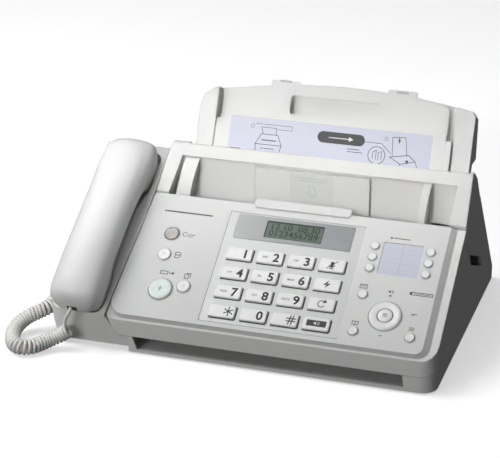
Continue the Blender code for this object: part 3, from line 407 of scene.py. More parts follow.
def rubber(name="soft_rubber"):
    s = Shader(name)
    grit = s.noise(900.0, 3.0, 0.7)
    s.set(Base_Color=s.mix(s.span(grit, 0.0, 1.0), rgb(0.022, 0.022, 0.022), rgb(0.055, 0.054, 0.052)),
          Roughness=s.span(s.noise(70.0, 3.0), 0.68, 0.88), Specular_IOR_Level=0.35)
    s.set(Normal=s.bump(grit, 0.00006, 0.8))
    return s.mat


def circuit_board():
    """Green solder mask over copper tracks, with pale pads."""
    s = Shader("circuit_board_mask")
    tracks = s.add("ShaderNodeTexBrick", {"Vector": s.place, "Scale": 160.0, "Mortar Size": 0.035,
                                          "Color1": rgb(0.016, 0.12, 0.045),
                                          "Color2": rgb(0.020, 0.15, 0.055),
                                          "Mortar": rgb(0.05, 0.24, 0.09)})
    pads = s.add("ShaderNodeTexVoronoi", {"Vector": s.place, "Scale": 330.0, "Randomness": 0.6})
    spot = s.span(pads.outputs["Distance"], 1.0, 0.0, 0.16, 0.20)
    s.set(Base_Color=s.mix(spot, tracks.outputs["Color"], rgb(0.62, 0.60, 0.52)),
          Roughness=s.span(s.noise(60.0), 0.28, 0.45), Metallic=spot)
    s.set(Normal=s.bump(tracks.outputs["Fac"], 0.00003, 0.7))
    return s.mat


def brushed_steel():
    s = Shader("brushed_steel_shaft")
    lines = s.noise(1400.0, 3.0, 0.6, s.stretched((0.05, 1.0, 1.0)))
    s.set(Base_Color=s.mix(s.span(lines, 0.0, 1.0), rgb(0.46, 0.46, 0.47), rgb(0.66, 0.66, 0.66)),
          Metallic=1.0, Roughness=s.span(lines, 0.24, 0.42))
    s.set(Normal=s.bump(lines, 0.00001, 0.6))
    return s.mat


def ink_film():
    """Glossy black transfer film wound on its spool, with fine wrinkles along it."""
    s = Shader("ink_film_roll")
    wrinkle = s.noise(240.0, 4.0, 0.6, s.stretched((0.15, 1.0, 1.0)))
    low, high = rgb(0.010, 0.010, 0.012), rgb(0.035, 0.035, 0.045)
    s.set(Base_Color=s.mix(s.span(wrinkle, 0.0, 1.0), low, high),
          Roughness=s.span(wrinkle, 0.14, 0.30), Coat_Weight=0.3)
    s.set(Normal=s.bump(wrinkle, 0.0001, 0.6))
    return s.mat


def make_materials():
    white = (0.80, 0.805, 0.79)
    return {
        "shell_plastic": moulded("shell_abs", white, 0.44),
        "panel_plastic": moulded("panel_abs", (0.735, 0.745, 0.735), 0.46, grain=0.0003),
        "silver_inlay": silver_film(),
        "key_plastic": moulded("key_abs", (0.90, 0.905, 0.90), 0.30, depth=0.00001, coat=0.25,
                               ripple=0.08),
        "start_plastic": moulded("start_button_abs", (0.72, 0.785, 0.76), 0.28, depth=0.00001,
                                 coat=0.4, subsurface=0.15),
        "smoked_plastic": smoked("smoked_cap", (0.30, 0.27, 0.245)),
        "lcd_window": display_strip(),
        "handset_plastic": moulded("handset_abs", (0.89, 0.895, 0.885), 0.40, depth=0.000004,
                                   coat=0.08, shade_and_dust_share=0.0, ripple=0.0),
        "cord_plastic": vinyl(),
        "clear_plastic": clear_plastic(),
        "rubber": rubber(),
        "circuit_board": circuit_board(),
        "steel": brushed_steel(),
        "dark_plastic": moulded("black_abs", (0.035, 0.036, 0.036), 0.42, shade_and_dust_share=0.0),
        "ink_film": ink_film(),
        "ink_dark": printed("ink_dark", (0.045, 0.048, 0.05)),
        "ink_grey": printed("ink_grey", (0.24, 0.25, 0.25)),
        "ink_pale": printed("ink_pale", (0.50, 0.52, 0.51)),
        "ink_white": printed("ink_white", (0.80, 0.81, 0.80)),
        "ink_green": printed("ink_green", (0.22, 0.42, 0.36)),
        "ink_display": printed("ink_display", (0.012, 0.030, 0.022)),
        "lavender_paper": paper("lavender_paper", (0.64, 0.655, 0.76)),
        "pale_sticker": paper("pale_sticker", (0.76, 0.775, 0.755)),
        "liquid_crystal": liquid_crystal(),
    }


# ---- CAD nodes
SOFT_EDGE, FINE_EDGE = 0.0004, 0.00012
FINE_EDGES = ("keypad_inlay", "lcd_window", "key_board", "main_board", "hook_switch")
TURNED = ("button", "one_touch", "nav_ring", "roller", "roll", "drive_motor")


def subdivide(obj, levels):
    smooth = obj.modifiers.new("smooth", "SUBSURF")
    smooth.levels = levels
    smooth.render_levels = levels


def finish_cad():
    """Soft edges and the record's finish on every node that stays visible."""
    for entry in frame["record"]["subparts"]:
        name = entry["node"]
        obj = frame["nodes"][name]
        obj.data.materials.clear()
        obj.data.materials.append(MATERIALS[entry["material_slot"]])
        obj.data.shade_smooth()
        weld = obj.modifiers.new("weld", "WELD")
        weld.merge_threshold = 0.00001
        soft = obj.modifiers.new("soft_edges", "BEVEL")
        soft.width = FINE_EDGE if name in FINE_EDGES else SOFT_EDGE
        soft.segments = 2
        soft.limit_method = "ANGLE"
        soft.angle_limit = math.radians(28)
        soft.harden_normals = False
        if any(word in name for word in TURNED):
            subdivide(obj, 2)
        else:
            weighted = obj.modifiers.new("flat_faces", "WEIGHTED_NORMAL")
            weighted.keep_sharp = False
            weighted.weight = 80


# ---- piece helpers
def add_piece(name, mesh, slot, body, place=Matrix.Identity(4), finish=None):
    obj = bpy.data.objects.new(name, mesh)
    link(obj)
    mesh.materials.append(MATERIALS[finish or slot])
    obj.matrix_world = place
    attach(obj, body)
    return obj


def to_mesh(bm, name, smooth=False):
    bmesh.ops.recalc_face_normals(bm, faces=bm.faces)
    mesh = bpy.data.meshes.new(name)
    bm.to_mesh(mesh)
    bm.free()
    if smooth:
        mesh.shade_smooth()
    return mesh


def turned_mesh(name, profile, steps=64):
    """Ring or disc turned about Z from (radius, height) points. Off the axis it closes itself."""
    bm = bmesh.new()
    closed = profile[0][0] > 0
    rings = []
    for r, h in profile:
        if r == 0:
            rings.append([bm.verts.new((0, 0, h))])
            continue
        rings.append([bm.verts.new((r * math.cos(2 * math.pi * k / steps),
                                    r * math.sin(2 * math.pi * k / steps), h))
                      for k in range(steps)])
    pairs = list(zip(rings, rings[1:]))
    if closed:
        pairs.append((rings[-1], rings[0]))
    for one, two in pairs:
        for k in range(steps):
            j = (k + 1) % steps
            corners = [one[k % len(one)], one[j % len(one)], two[j % len(two)], two[k % len(two)]]
            unique = list(dict.fromkeys(corners))
            if len(unique) > 2:
                bm.faces.new(unique)
    return to_mesh(bm, name, smooth=True)


class Print:
    """Flat marks drawn in a local XY plane, all of one ink, given a hair of thickness."""

    def __init__(self):
        self.bm = bmesh.new()

    def polygon(self, points):
        self.bm.faces.new([self.bm.verts.new((x, y, 0)) for x, y in points])
        return self

    def bar(self, x, y, half_x, half_y, corner=0.0, steps=6):
        """Rectangle about (x, y), its corners rounded."""
        if corner <= 0:
            return self.polygon([(x - half_x, y - half_y), (x + half_x, y - half_y),
                                 (x + half_x, y + half_y), (x - half_x, y + half_y)])
        points = []
        for quarter, (sx, sy) in enumerate(((1, 1), (-1, 1), (-1, -1), (1, -1))):
            for k in range(steps + 1):
                a = math.pi / 2 * (quarter + k / steps)
                points.append((x + sx * (half_x - corner) + corner * math.cos(a),
                               y + sy * (half_y - corner) + corner * math.sin(a)))
        return self.polygon(points)

    def line(self, points, width, closed=False):
        """Stroke of even width through points."""
        ends = list(zip(points, points[1:] + points[:1]))
        if not closed:
            ends = ends[:-1]
        for (x0, y0), (x1, y1) in ends:
            run = Vector((x1 - x0, y1 - y0))
            along = run.normalized() * width / 2
            across = Vector((-along.y, along.x))
            start, stop = Vector((x0, y0)) - along, Vector((x1, y1)) + along
            self.polygon([tuple(start - across), tuple(stop - across),
                          tuple(stop + across), tuple(start + across)])
        return self

    def dash(self, x0, x1, y, width):
        """Level stroke."""
        return self.line([(x0, y), (x1, y)], width)

    def outline(self, x0, y0, x1, y1, width):
        """Outline of an upright rectangle."""
        return self.line([(x0, y0), (x1, y0), (x1, y1), (x0, y1)], width, True)

    def arc(self, x, y, radius, width, start=0.0, end=360.0, steps=36):
        """Band of a circle between two angles in degrees."""
        inner, outer = radius - width / 2, radius + width / 2
        for k in range(steps):
            a = math.radians(start + (end - start) * k / steps)
            b = math.radians(start + (end - start) * (k + 1) / steps)
            self.polygon([(x + inner * math.cos(a), y + inner * math.sin(a)),
                          (x + outer * math.cos(a), y + outer * math.sin(a)),
                          (x + outer * math.cos(b), y + outer * math.sin(b)),
                          (x + inner * math.cos(b), y + inner * math.sin(b))])
        return self

    def disc(self, x, y, radius, steps=32):
        return self.polygon([(x + radius * math.cos(2 * math.pi * k / steps),
                              y + radius * math.sin(2 * math.pi * k / steps))
                             for k in range(steps)])

    def grow(self, factor):
        """Enlarge the marks drawn so far about their own middle."""
        xs = [vert.co.x for vert in self.bm.verts]
        ys = [vert.co.y for vert in self.bm.verts]
        middle = Vector(((min(xs) + max(xs)) / 2, (min(ys) + max(ys)) / 2, 0))
        bmesh.ops.scale(self.bm, vec=(factor, factor, 1), space=Matrix.Translation(-middle),
                        verts=self.bm.verts[:])
        return self

    def figures(self, text, size, x, y, bold=0.0, align="CENTER"):
        """Figures or letters of the plain built-in face."""
        curve = bpy.data.curves.new("figures", "FONT")
        curve.body = text
        curve.size = size
        curve.align_x = align
        curve.align_y = "CENTER"
        curve.offset = bold
        curve.resolution_u = 6
        holder = bpy.data.objects.new("figures", curve)
        link(holder)
        depsgraph = bpy.context.evaluated_depsgraph_get()
        mesh = bpy.data.meshes.new_from_object(holder.evaluated_get(depsgraph))
        mesh.transform(Matrix.Translation((x, y, 0)))
        self.bm.from_mesh(mesh)
        bpy.data.objects.remove(holder, do_unlink=True)
        bpy.data.meshes.remove(mesh)
        return self

    def piece(self, name, ink, body, place, slot, thick=INK):
        grown = bmesh.ops.extrude_face_region(self.bm, geom=self.bm.faces[:])
        top = [item for item in grown["geom"] if isinstance(item, bmesh.types.BMVert)]
        bmesh.ops.translate(self.bm, verts=top, vec=(0, 0, thick))
        mesh = to_mesh(self.bm, name)
        return add_piece(name, mesh, slot, body, place, ink)


# ---- handset
def handset_ring(y, half, low, high, widest):
    """One cross-section of the handset: flat foot, leaning sides and a crowned back."""
    points = []
    for k in range(9):
        angle = math.pi * k / 8
        points.append((half * math.cos(angle), y, widest + (high - widest) * math.sin(angle) ** 0.8))
    knee = low + (widest - low) * 0.45
    points += [(-half + 0.0030, y, knee), (-half + 0.0065, y, low),
               (half - 0.0065, y, low), (half - 0.0030, y, knee)]
    return points


HANDSET_SECTIONS = [
    # distance along, half width, underside, back, height of the widest point
    (-0.0045, 0.0130, 0.0030, 0.0135, 0.0080),
    (-0.0028, 0.0185, -0.0005, 0.0200, 0.0100),
    (0.0012, 0.0222, -0.0030, 0.0250, 0.0115),
    (0.0045, 0.0236, -0.0120, 0.0270, 0.0130),
    (0.0100, 0.0245, -0.0168, 0.0288, 0.0140),
    (0.0180, 0.0245, -0.0172, 0.0305, 0.0140),
    (0.0360, 0.0243, -0.0172, 0.0325, 0.0150),
    (0.0420, 0.0240, -0.0060, 0.0332, 0.0160),
    (0.0520, 0.0238, -0.0025, 0.0340, 0.0160),
    (0.0900, 0.0236, -0.0015, 0.0348, 0.0170),
    (0.1250, 0.0240, -0.0025, 0.0340, 0.0160),
    (0.1340, 0.0250, -0.0060, 0.0334, 0.0160),
    (0.1400, 0.0255, -0.0172, 0.0328, 0.0150),
    (0.1620, 0.0255, -0.0172, 0.0295, 0.0140),
    (0.1720, 0.0235, -0.0150, 0.0245, 0.0125),
    (0.1770, 0.0190, -0.0080, 0.0185, 0.0100),
    (0.1785, 0.0130, 0.0000, 0.0140, 0.0080),
]
HANDSET_SPLIT = 0.0120
SEAM = 0.00018


def smooth_handset():
    """Whole handset form: lofted cage, subdivided twice, as one closed mesh."""
    bm = bmesh.new()
    rings = [[bm.verts.new(point) for point in handset_ring(*row)] for row in HANDSET_SECTIONS]
    for ring, following in zip(rings, rings[1:]):
        for i in range(len(ring)):
            j = (i + 1) % len(ring)
            bm.faces.new((ring[i], ring[j], following[j], following[i]))
    for ring in (rings[0], rings[-1]):
        bmesh.ops.poke(bm, faces=[bm.faces.new(ring)])
    holder = bpy.data.objects.new("handset_form", to_mesh(bm, "handset_form"))
    link(holder)
    subdivide(holder, 3)
    depsgraph = bpy.context.evaluated_depsgraph_get()
    mesh = bpy.data.meshes.new_from_object(holder.evaluated_get(depsgraph))
    bpy.data.objects.remove(holder, do_unlink=True)
    return mesh


def make_handset():
    form = smooth_handset()
    for name, node, side, cut in (("handset_back", "handset_shell", 1, HANDSET_SPLIT),
                                  ("handset_front", "handset_base", -1, HANDSET_SPLIT - SEAM)):
        bm = bmesh.new()
        bm.from_mesh(form)
        bmesh.ops.bisect_plane(bm, geom=bm.verts[:] + bm.edges[:] + bm.faces[:],
                               plane_co=(0, 0, cut), plane_no=(0, 0, side), clear_inner=True)
        rim = [edge for edge in bm.edges if edge.is_boundary]
        inner = bmesh.ops.extrude_edge_only(bm, edges=rim)["geom"]
        drop = [item for item in inner if isinstance(item, bmesh.types.BMVert)]
        for vert in drop:
            vert.co.x *= 0.90
            vert.co.y = 0.087 + (vert.co.y - 0.087) * 0.97
        obj = add_piece(name, to_mesh(bm, name, smooth=True), "handset_plastic", "handset", HANDSET)
        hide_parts(node)
        sharp = obj.modifiers.new("rim", "EDGE_SPLIT")
        sharp.split_angle = math.radians(50)

    # sound holes in the two faces that rest in the cradle, as dark discs: painted shade inside the
    # holes
    for name, middle, rows in (("earpiece_holes", 0.1520, 3), ("mouthpiece_holes", 0.0230, 2)):
        holes = Print().disc(0, 0, 0.0008, 12)
        for ring in range(1, rows + 1):
            for k in range(6 * ring):
                a = 2 * math.pi * k / (6 * ring)
                holes.disc(0.0027 * ring * math.cos(a), 0.0027 * ring * math.sin(a), 0.0008, 12)
        under = HANDSET @ Matrix.Translation((0, middle, -0.0170)) @ Matrix.Rotation(math.pi, 4, "X")
        holes.piece(name, "dark_plastic", "handset", under, "dark_plastic", 0.0002)

    # socket of the cord at the mouth end, as a dark bar: painted shade inside the opening
    jack = HANDSET @ Matrix.Translation((0, -0.0041, 0.0080)) @ FACING_FRONT
    slot = Print().bar(0, 0, 0.0048, 0.0027, 0.0008)
    slot.piece("handset_socket", "dark_plastic", "handset", jack, "dark_plastic", 0.0006)


# ---- keypad
def key_top(name):
    low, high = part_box(name)
    middle = PANEL.inverted() @ ((low + high) / 2)
    return middle.x, middle.y


KEY_LETTERS = {"2": "ABC", "3": "DEF", "4": "GHI", "5": "JKL", "6": "MNO", "7": "PQRS",
               "8": "TUV", "9": "WXYZ"}
KEY_TOP = 0.0022             # above the panel's surface
FACE = KEY_TOP + LIFT


def on_key(marks, name, node, ink="ink_dark", height=FACE, slot="key_plastic"):
    """Print marks on the top of a key or button."""
    u, v = key_top(node)
    marks.piece(name, ink, node, panel(u, v, height), slot)


def on_panel(marks, name, factor=None, ink="ink_dark"):
    """Print marks on the plate of the front cover, enlarged about their middle."""
    if factor:
        marks.grow(factor)
    marks.piece(name, ink, "front_cover", panel(0, 0, LIFT), "panel_plastic")


def key_marks():
    """Figures on the number keys, with the usual small letters beside them."""
    for digit in "0123456789":
        node = "key_" + digit
        on_key(Print().figures(digit, 0.0118, 0.0055, -0.0005, 0.00030), "figure_" + digit, node)
        if digit in KEY_LETTERS:
            small = Print().figures(KEY_LETTERS[digit], 0.0027, -0.0044, -0.0002, 0.00005)
            on_key(small, "letters_" + digit, node, "ink_grey")

    middle, arm, width = 0.0056, 0.0042, 0.0010
    star = Print()
    for k in range(3):
        a = math.radians(90 + 60 * k)
        star.line([(middle - arm * math.cos(a), -arm * math.sin(a)),
                   (middle + arm * math.cos(a), arm * math.sin(a))], width)
    on_key(star, "star_mark", "key_star")

    crossing = Print()
    for offset in (-0.0012, 0.0014):
        crossing.line([(0.0048 + offset, -arm), (0.0062 + offset, arm)], width)
        crossing.dash(0.0016, 0.0096, offset, width)
    on_key(crossing, "hash_mark", "key_hash")


def key_shadow_lines():
    """Painted shadow in dark ink on the silver film, along the right and lower side of each key hole.
    """
    half_u, half_v = 0.01235, 0.0068
    lines = Print()
    for node in frame["nodes"]:
        if node.startswith("key_") and node != "key_board":
            u, v = key_top(node)
            lines.line([(u - half_u + 0.0012, v - half_v), (u + half_u - 0.0010, v - half_v)], 0.0012)
            lines.line([(u + half_u, v - half_v + 0.0010), (u + half_u, v + half_v - 0.0012)], 0.0011)
    lines.piece("key_shadow_lines", "ink_dark", "front_cover", panel(0, 0, LIFT), "silver_inlay")


def function_marks():
    """Plain pictograms on the four function keys of the right column."""
    enlarged = 1.45
    mute = Print().bar(0, 0.0006, 0.0010, 0.0018, 0.0009)
    mute.arc(0, 0.0004, 0.0019, STROKE, 190, 350, 14)
    mute.line([(0, -0.0015), (0, -0.0026)], STROKE)
    mute.dash(-0.0012, 0.0012, -0.0026, STROKE)
    mute.line([(-0.0030, -0.0026), (0.0030, 0.0028)], STROKE)
    on_key(mute.grow(enlarged), "mute_mark", "key_mute")

    flash = Print().polygon([(0.0010, 0.0030), (-0.0022, -0.0006), (-0.0003, -0.0006)])
    flash.polygon([(-0.0010, -0.0030), (0.0022, 0.0006), (0.0003, 0.0006)])
    on_key(flash.grow(enlarged), "flash_mark", "key_flash")

    redial = Print().arc(0, 0, 0.0022, BOLD, 40, 330, 24)
    redial.polygon([(0.0006, 0.0006), (0.0032, 0.0012), (0.0018, 0.0034)])
    on_key(redial.grow(enlarged), "redial_mark", "key_redial")

    on_key(Print().bar(0, 0, 0.0088, 0.0030, 0.0006), "handsfree_strip", "key_handsfree")
    speaker = Print().polygon([(-0.0024, -0.0007), (-0.0014, -0.0007), (0.0, -0.0018),
                               (0.0, 0.0018), (-0.0014, 0.0007), (-0.0024, 0.0007)])
    for radius in (0.0012, 0.0022):
        speaker.arc(0.0004, 0, radius, FINE, -50, 50, 10)
    on_key(speaker, "handsfree_mark", "key_handsfree", "ink_white", FACE + INK + LIFT)


# ---- panel furniture
ROUND_BUTTONS = {
    # radius of the cap, and how far its crown stands out of the panel
    "auto_answer_button": (0.0068, 0.0010), "copy_button": (0.0060, 0.0016),
    "start_button": (0.0110, 0.0018), "stop_button": (0.0060, 0.0016),
    "caller_id_button": (0.0043, 0.0016), "phonebook_button": (0.0044, 0.0016),
    "menu_button": (0.0044, 0.0016),
}
for number in range(1, 7):
    ROUND_BUTTONS[f"one_touch_{number}"] = (0.0039, 0.0016)


def button_bezels():
    """Fine raised ring moulded round every round hole of the plate."""
    places = {name: (*key_top(name), radius) for name, (radius, _) in ROUND_BUTTONS.items()}
    places["nav_ring"] = (*key_top("nav_ring"), 0.0145)
    for name, (u, v, radius) in places.items():
        inner = radius + 0.00042
        wide = 0.0009 if radius > 0.005 else 0.0006
        profile = [(inner, -0.0008), (inner, 0.00018), (inner + wide * 0.35, 0.00034),
                   (inner + wide * 0.75, 0.00026), (inner + wide, LIFT), (inner + wide, -0.0006)]
        add_piece("bezel_" + name, turned_mesh("bezel_" + name, profile), "panel_plastic",
                  "front_cover", panel(u, v))


def button_caps():
    """Round caps with a soft edge and a very shallow dish in place of the plain turned ones."""
    finishes = {"start_button": "start_plastic", "auto_answer_button": "smoked_plastic"}
    for name, (radius, proud) in ROUND_BUTTONS.items():
        u, v = key_top(name)
        r = radius - 0.0001
        profile = [(0, proud - 0.00022), (r * 0.45, proud - 0.00016), (r * 0.74, proud - 0.00002),
                   (r * 0.88, proud - 0.00006), (r * 0.96, proud - 0.00030), (r, proud - 0.00075),
                   (r, -0.0030), (r * 0.97, -0.0052), (0, -0.0052)]
        slot = finishes.get(name, "key_plastic")
        obj = add_piece(name + "_cap", turned_mesh(name + "_cap", profile), slot, name, panel(u, v))
        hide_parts(name)
        subdivide(obj, 1)


def panel_marks():
    """Small pictograms beside the controls, and the marks of the rocker."""
    large, slight = 1.3, 1.1
    lamp = Print().arc(-0.0715, 0.0912, 0.0016, FINE, 20, 340, 20)
    lamp.dash(-0.0692, -0.0640, 0.0912, STROKE)
    lamp.dash(-0.0692, -0.0655, 0.0896, FINE)
    on_panel(lamp, "auto_answer_mark", large)

    stop = Print().line([(-0.0748, 0.0663), (-0.0722, 0.0663), (-0.0709, 0.0676), (-0.0709, 0.0694),
                         (-0.0722, 0.0707), (-0.0748, 0.0707)], STROKE, True)
    stop.dash(-0.0741, -0.0717, 0.0685, BOLD)
    on_panel(stop, "stop_mark", large)

    pages = Print().outline(-0.0600, 0.0462, -0.0574, 0.0496, STROKE)
    pages.line([(-0.0586, 0.0504), (-0.0560, 0.0504), (-0.0560, 0.0470)], STROKE)
    on_panel(pages, "copy_mark", large)

    start = Print().outline(-0.0822, 0.0478, -0.0770, 0.0500, STROKE)
    start.dash(-0.0760, -0.0736, 0.0489, BOLD)
    start.polygon([(-0.0738, 0.0476), (-0.0720, 0.0489), (-0.0738, 0.0502)])
    on_panel(start, "start_mark", large)

    rocker = Print().line([(0.1261, 0.0538), (0.1261, 0.0562)], BOLD)
    rocker.dash(0.1249, 0.1273, 0.0550, BOLD)
    rocker.dash(0.1249, 0.1273, 0.0146, BOLD)
    on_panel(rocker, "rocker_marks")

    volume = Print().polygon([(0.1236, 0.0586), (0.1246, 0.0586), (0.1258, 0.0577), (0.1258, 0.0607),
                              (0.1246, 0.0598), (0.1236, 0.0598)])
    for radius in (0.0013, 0.0023):
        volume.arc(0.1260, 0.0592, radius, FINE, -55, 55, 8)
    on_panel(volume, "volume_mark")

    identity = Print().outline(0.0982, 0.0596, 0.1040, 0.0630, STROKE)
    identity.disc(0.0997, 0.0618, 0.0006, 12)
    identity.dash(0.1012, 0.1030, 0.0620, FINE)
    identity.dash(0.1012, 0.1030, 0.0608, FINE)
    on_panel(identity, "caller_mark", slight)

    book = Print().line([(0.0994, 0.0226), (0.1018, 0.0221), (0.1042, 0.0226), (0.1042, 0.0256),
                         (0.1018, 0.0251), (0.0994, 0.0256)], STROKE, True)
    book.line([(0.1018, 0.0221), (0.1018, 0.0251)], STROKE)
    on_panel(book, "phonebook_mark", slight)

    menu = Print()
    for row in range(3):
        menu.dash(0.1492, 0.1534, 0.0238 + 0.0013 * row, STROKE)
    menu.dash(0.1482, 0.1530, 0.0398, BOLD)
    menu.dash(0.1482, 0.1512, 0.0384, FINE)
    on_panel(menu, "menu_marks")

    film = Print().outline(0.1452, 0.0592, 0.1602, 0.0612, STROKE)
    film.polygon([(0.1440, 0.0602), (0.1462, 0.0590), (0.1462, 0.0614)])
    film.dash(0.1480, 0.1590, 0.0602, FINE)
    on_panel(film, "film_mark", large)

    directory = Print().dash(0.1180, 0.1290, 0.1140, BOLD)
    directory.disc(0.1165, 0.1140, 0.0008, 12)
    on_panel(directory, "directory_mark", large)

    band = Print().dash(-0.0955, -0.0530, 0.1140, 0.0014)
    band.polygon([(-0.0985, 0.1133), (-0.0968, 0.1133), (-0.0962, 0.1147), (-0.0979, 0.1147)])
    on_panel(band, "title_line")

    diamond = Print().dash(-0.0016, 0.0016, 0.0, BOLD)
    diamond.line([(0.0, -0.0022), (0.0, 0.0022)], BOLD)
    on_key(diamond, "start_button_mark", "start_button", "ink_green", 0.0018, "start_plastic")
    for name in ("stop_button", "copy_button"):
        ring = Print().arc(0, 0, 0.0012, 0.0003, 0, 360, 20)
        on_key(ring, name + "_mark", name, "ink_pale", 0.0016)

    centre = Print()
    for height in (0.0012, 0.0, -0.0012):
        centre.dash(-0.0016, 0.0016, height, STROKE)
    on_key(centre, "nav_button_mark", "nav_button", "ink_grey", 0.0023)


def inlay_edges():
    """Painted shade as a fine dark line at the left and top of the silver film, and a painted highlight
    at its right.
    """
    (left, bottom), (right, top) = (-0.0361, 0.0058), (0.0901, 0.1216)
    dark = Print().line([(left - 0.0002, bottom), (left - 0.0002, top)], BOLD)
    dark.dash(left, right, top + 0.0002, STROKE)
    on_panel(dark, "inlay_shadow_line", ink="ink_grey")
    highlight_line = Print().line([(right + 0.0002, bottom), (right + 0.0002, top)], BOLD)
    on_panel(highlight_line, "inlay_painted_highlight", ink="ink_white")


def display():
    """Liquid crystal with its dark frame, widened at the top and left into painted shade of the recess,
    and a few figures.
    """
    top = 0.0001 + LIFT
    body, slot = "front_cover", "lcd_window"
    # dark frame, wider at the top and left: partly a real frame, partly painted shade along the
    # window's recess
    rim = Print().bar(0.0264, 0.1075, 0.0268, 0.0090, 0.0008)
    rim.piece("display_frame_and_shade", "ink_display", body, panel(0, 0, top), slot)
    screen = Print().bar(0.0268, 0.1069, 0.0258, 0.0078, 0.0004)
    screen.piece("display_screen", "liquid_crystal", body, panel(0, 0, top + INK), slot)
    figures = Print()
    for text, row in (("12 10  08:30", 0.1108), ("0123456789", 0.1036)):
        figures.figures(text, 0.0092, 0.0264, row, 0.00012)
    figures.piece("display_figures", "ink_display", body, panel(0, 0, top + 2 * INK), slot)


def directory_card():
    """Paper card for the one-touch numbers, ruled in two columns of three."""
    body, slot = "front_cover", "panel_plastic"
    floor = -0.0010 + LIFT
    middle_u, middle_v = 0.1272, 0.0925
    card = Print().bar(middle_u, middle_v, 0.0177, 0.0165, 0.0006)
    card.piece("directory_card", "lavender_paper", body, panel(0, 0, floor), slot, CARD)
    rules = Print()
    for column in (-1, 1):
        for row in (-1, 0, 1):
            u, v = middle_u + column * 0.0083, middle_v + row * 0.0105
            rules.dash(u - 0.0071, u + 0.0071, v - 0.0040, 0.0003)
            rules.dash(u - 0.0071, u + 0.0071, v, 0.0002)
    rules.line([(middle_u, 0.0770), (middle_u, 0.1080)], BOLD)
    rules.piece("directory_rules", "ink_pale", body, panel(0, 0, floor + CARD + LIFT), slot)


# ---- tray and recess
def tray(x, y, z):
    return TRAY @ Matrix.Translation((x, y, z))


def tray_label():
    """Printed sheet on the tension plate: pale ground, black pill and loading pictograms."""
    body, slot = "tension_plate", "shell_plastic"
    top = -0.0012 + LIFT
    ground = Print().bar(0.0400, 0.0265, 0.0948, 0.0228, 0.0012)
    ground.piece("loading_label", "lavender_paper", body, tray(0, 0, top), slot, SHEET)
    ink = top + SHEET + LIFT
    pill = Print().bar(0.0512, 0.0378, 0.0222, 0.0052, 0.0051)
    pill.piece("loading_pill", "ink_dark", body, tray(0, 0, ink), slot)
    arrow = Print().dash(0.0400, 0.0590, 0.0378, 0.0008)
    arrow.polygon([(0.0585, 0.0356), (0.0625, 0.0378), (0.0585, 0.0400)])
    arrow.piece("loading_arrow", "ink_white", body, tray(0, 0, ink + INK + LIFT), slot)

    lines = Print()
    lines.line([(0.0738, 0.0372), (0.0890, 0.0372), (0.0985, 0.0290)], STROKE)
    lines.arc(0.0855, 0.0262, 0.0078, BOLD)
    lines.line([(0.0820, 0.0232), (0.0820, 0.0290), (0.0850, 0.0310), (0.0850, 0.0225)], STROKE)
    lines.line([(0.0872, 0.0222), (0.0872, 0.0290), (0.0900, 0.0300), (0.0900, 0.0230)], STROKE)
    lines.line([(0.1000, 0.0272), (0.0985, 0.0440), (0.1105, 0.0448), (0.1135, 0.0280)], STROKE)
    lines.line([(0.0975, 0.0260), (0.1150, 0.0292), (0.1215, 0.0240), (0.1080, 0.0205)], BOLD, True)
    lines.line([(0.1080, 0.0205), (0.1075, 0.0165), (0.1240, 0.0180), (0.1215, 0.0240)], STROKE)
    lines.polygon([(0.1038, 0.0420), (0.1062, 0.0422), (0.1054, 0.0385)])
    lines.line([(0.1050, 0.0435), (0.1050, 0.0415)], 0.0010)
    lines.polygon([(0.1120, 0.0238), (0.1150, 0.0248), (0.1148, 0.0212)])
    # a machine seen from the front, with its sheet
    lines.line([(-0.0290, 0.0250), (-0.0240, 0.0345), (-0.0085, 0.0345), (-0.0040, 0.0250)], BOLD, True)
    lines.line([(-0.0290, 0.0250), (-0.0280, 0.0175), (-0.0060, 0.0175), (-0.0040, 0.0250)], BOLD)
    lines.line([(-0.0225, 0.0345), (-0.0245, 0.0408), (-0.0105, 0.0408), (-0.0100, 0.0345)], STROKE)
    lines.dash(-0.0230, -0.0100, 0.0290, 0.0010)
    lines.dash(-0.0235, -0.0110, 0.0215, BOLD)
    lines.arc(-0.0330, 0.0412, 0.0017, FINE)
    lines.arc(0.0930, 0.0420, 0.0015, FINE)
    lines.line([(-0.0300, 0.0436), (0.0042, 0.0436), (0.0042, 0.0398), (-0.0095, 0.0398)], FINE)
    lines.dash(0.0580, 0.0690, 0.0292, 0.0007)
    lines.dash(0.0580, 0.0720, 0.0268, BOLD)
    lines.dash(-0.0520, -0.0430, 0.0190, 0.0008)
    lines.piece("loading_pictograms", "ink_dark", body, tray(0, 0, ink), slot)


def tray_details():
    """Marks on the two tabs."""
    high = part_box("paper_tray")[1]
    for name, x in (("tab_mark_left", -0.0095), ("tab_mark_right", 0.1005)):
        mark = Print().bar(0, 0, 0.0058, 0.0012, 0.0011)
        local = TRAY.inverted() @ Vector((x, high.y, high.z))
        mark.piece(name, "ink_pale", "paper_tray", tray(x, local.y - 0.0032, -0.0100 + LIFT),
                   "shell_plastic")


def recess_details():
    """Pale document sticker on the middle pad, with a sheet turned face down."""
    wall = Matrix.Translation((0, FRONT_Y + 0.1269, 0)) @ FACING_FRONT
    body, slot = "back_cover", "shell_plastic"
    sticker = Print().bar(0.0313, 0.1240, 0.0205, 0.0135, 0.0008)
    sticker.piece("document_sticker", "pale_sticker", body,
                  wall @ Matrix.Translation((0, 0, LIFT)), slot, SHEET)
    lines = Print()
    lines.dash(0.0160, 0.0466, 0.1345, FINE)
    lines.dash(0.0190, 0.0436, 0.1322, FINE)
    lines.line([(0.0280, 0.1270), (0.0330, 0.1285), (0.0356, 0.1200), (0.0306, 0.1185)], FINE, True)
    lines.line([(0.0268, 0.1222), (0.0300, 0.1165), (0.0362, 0.1180)], FINE)
    lines.piece("document_pictogram", "ink_pale", body,
                wall @ Matrix.Translation((0, 0, LIFT * 2 + SHEET)), slot)


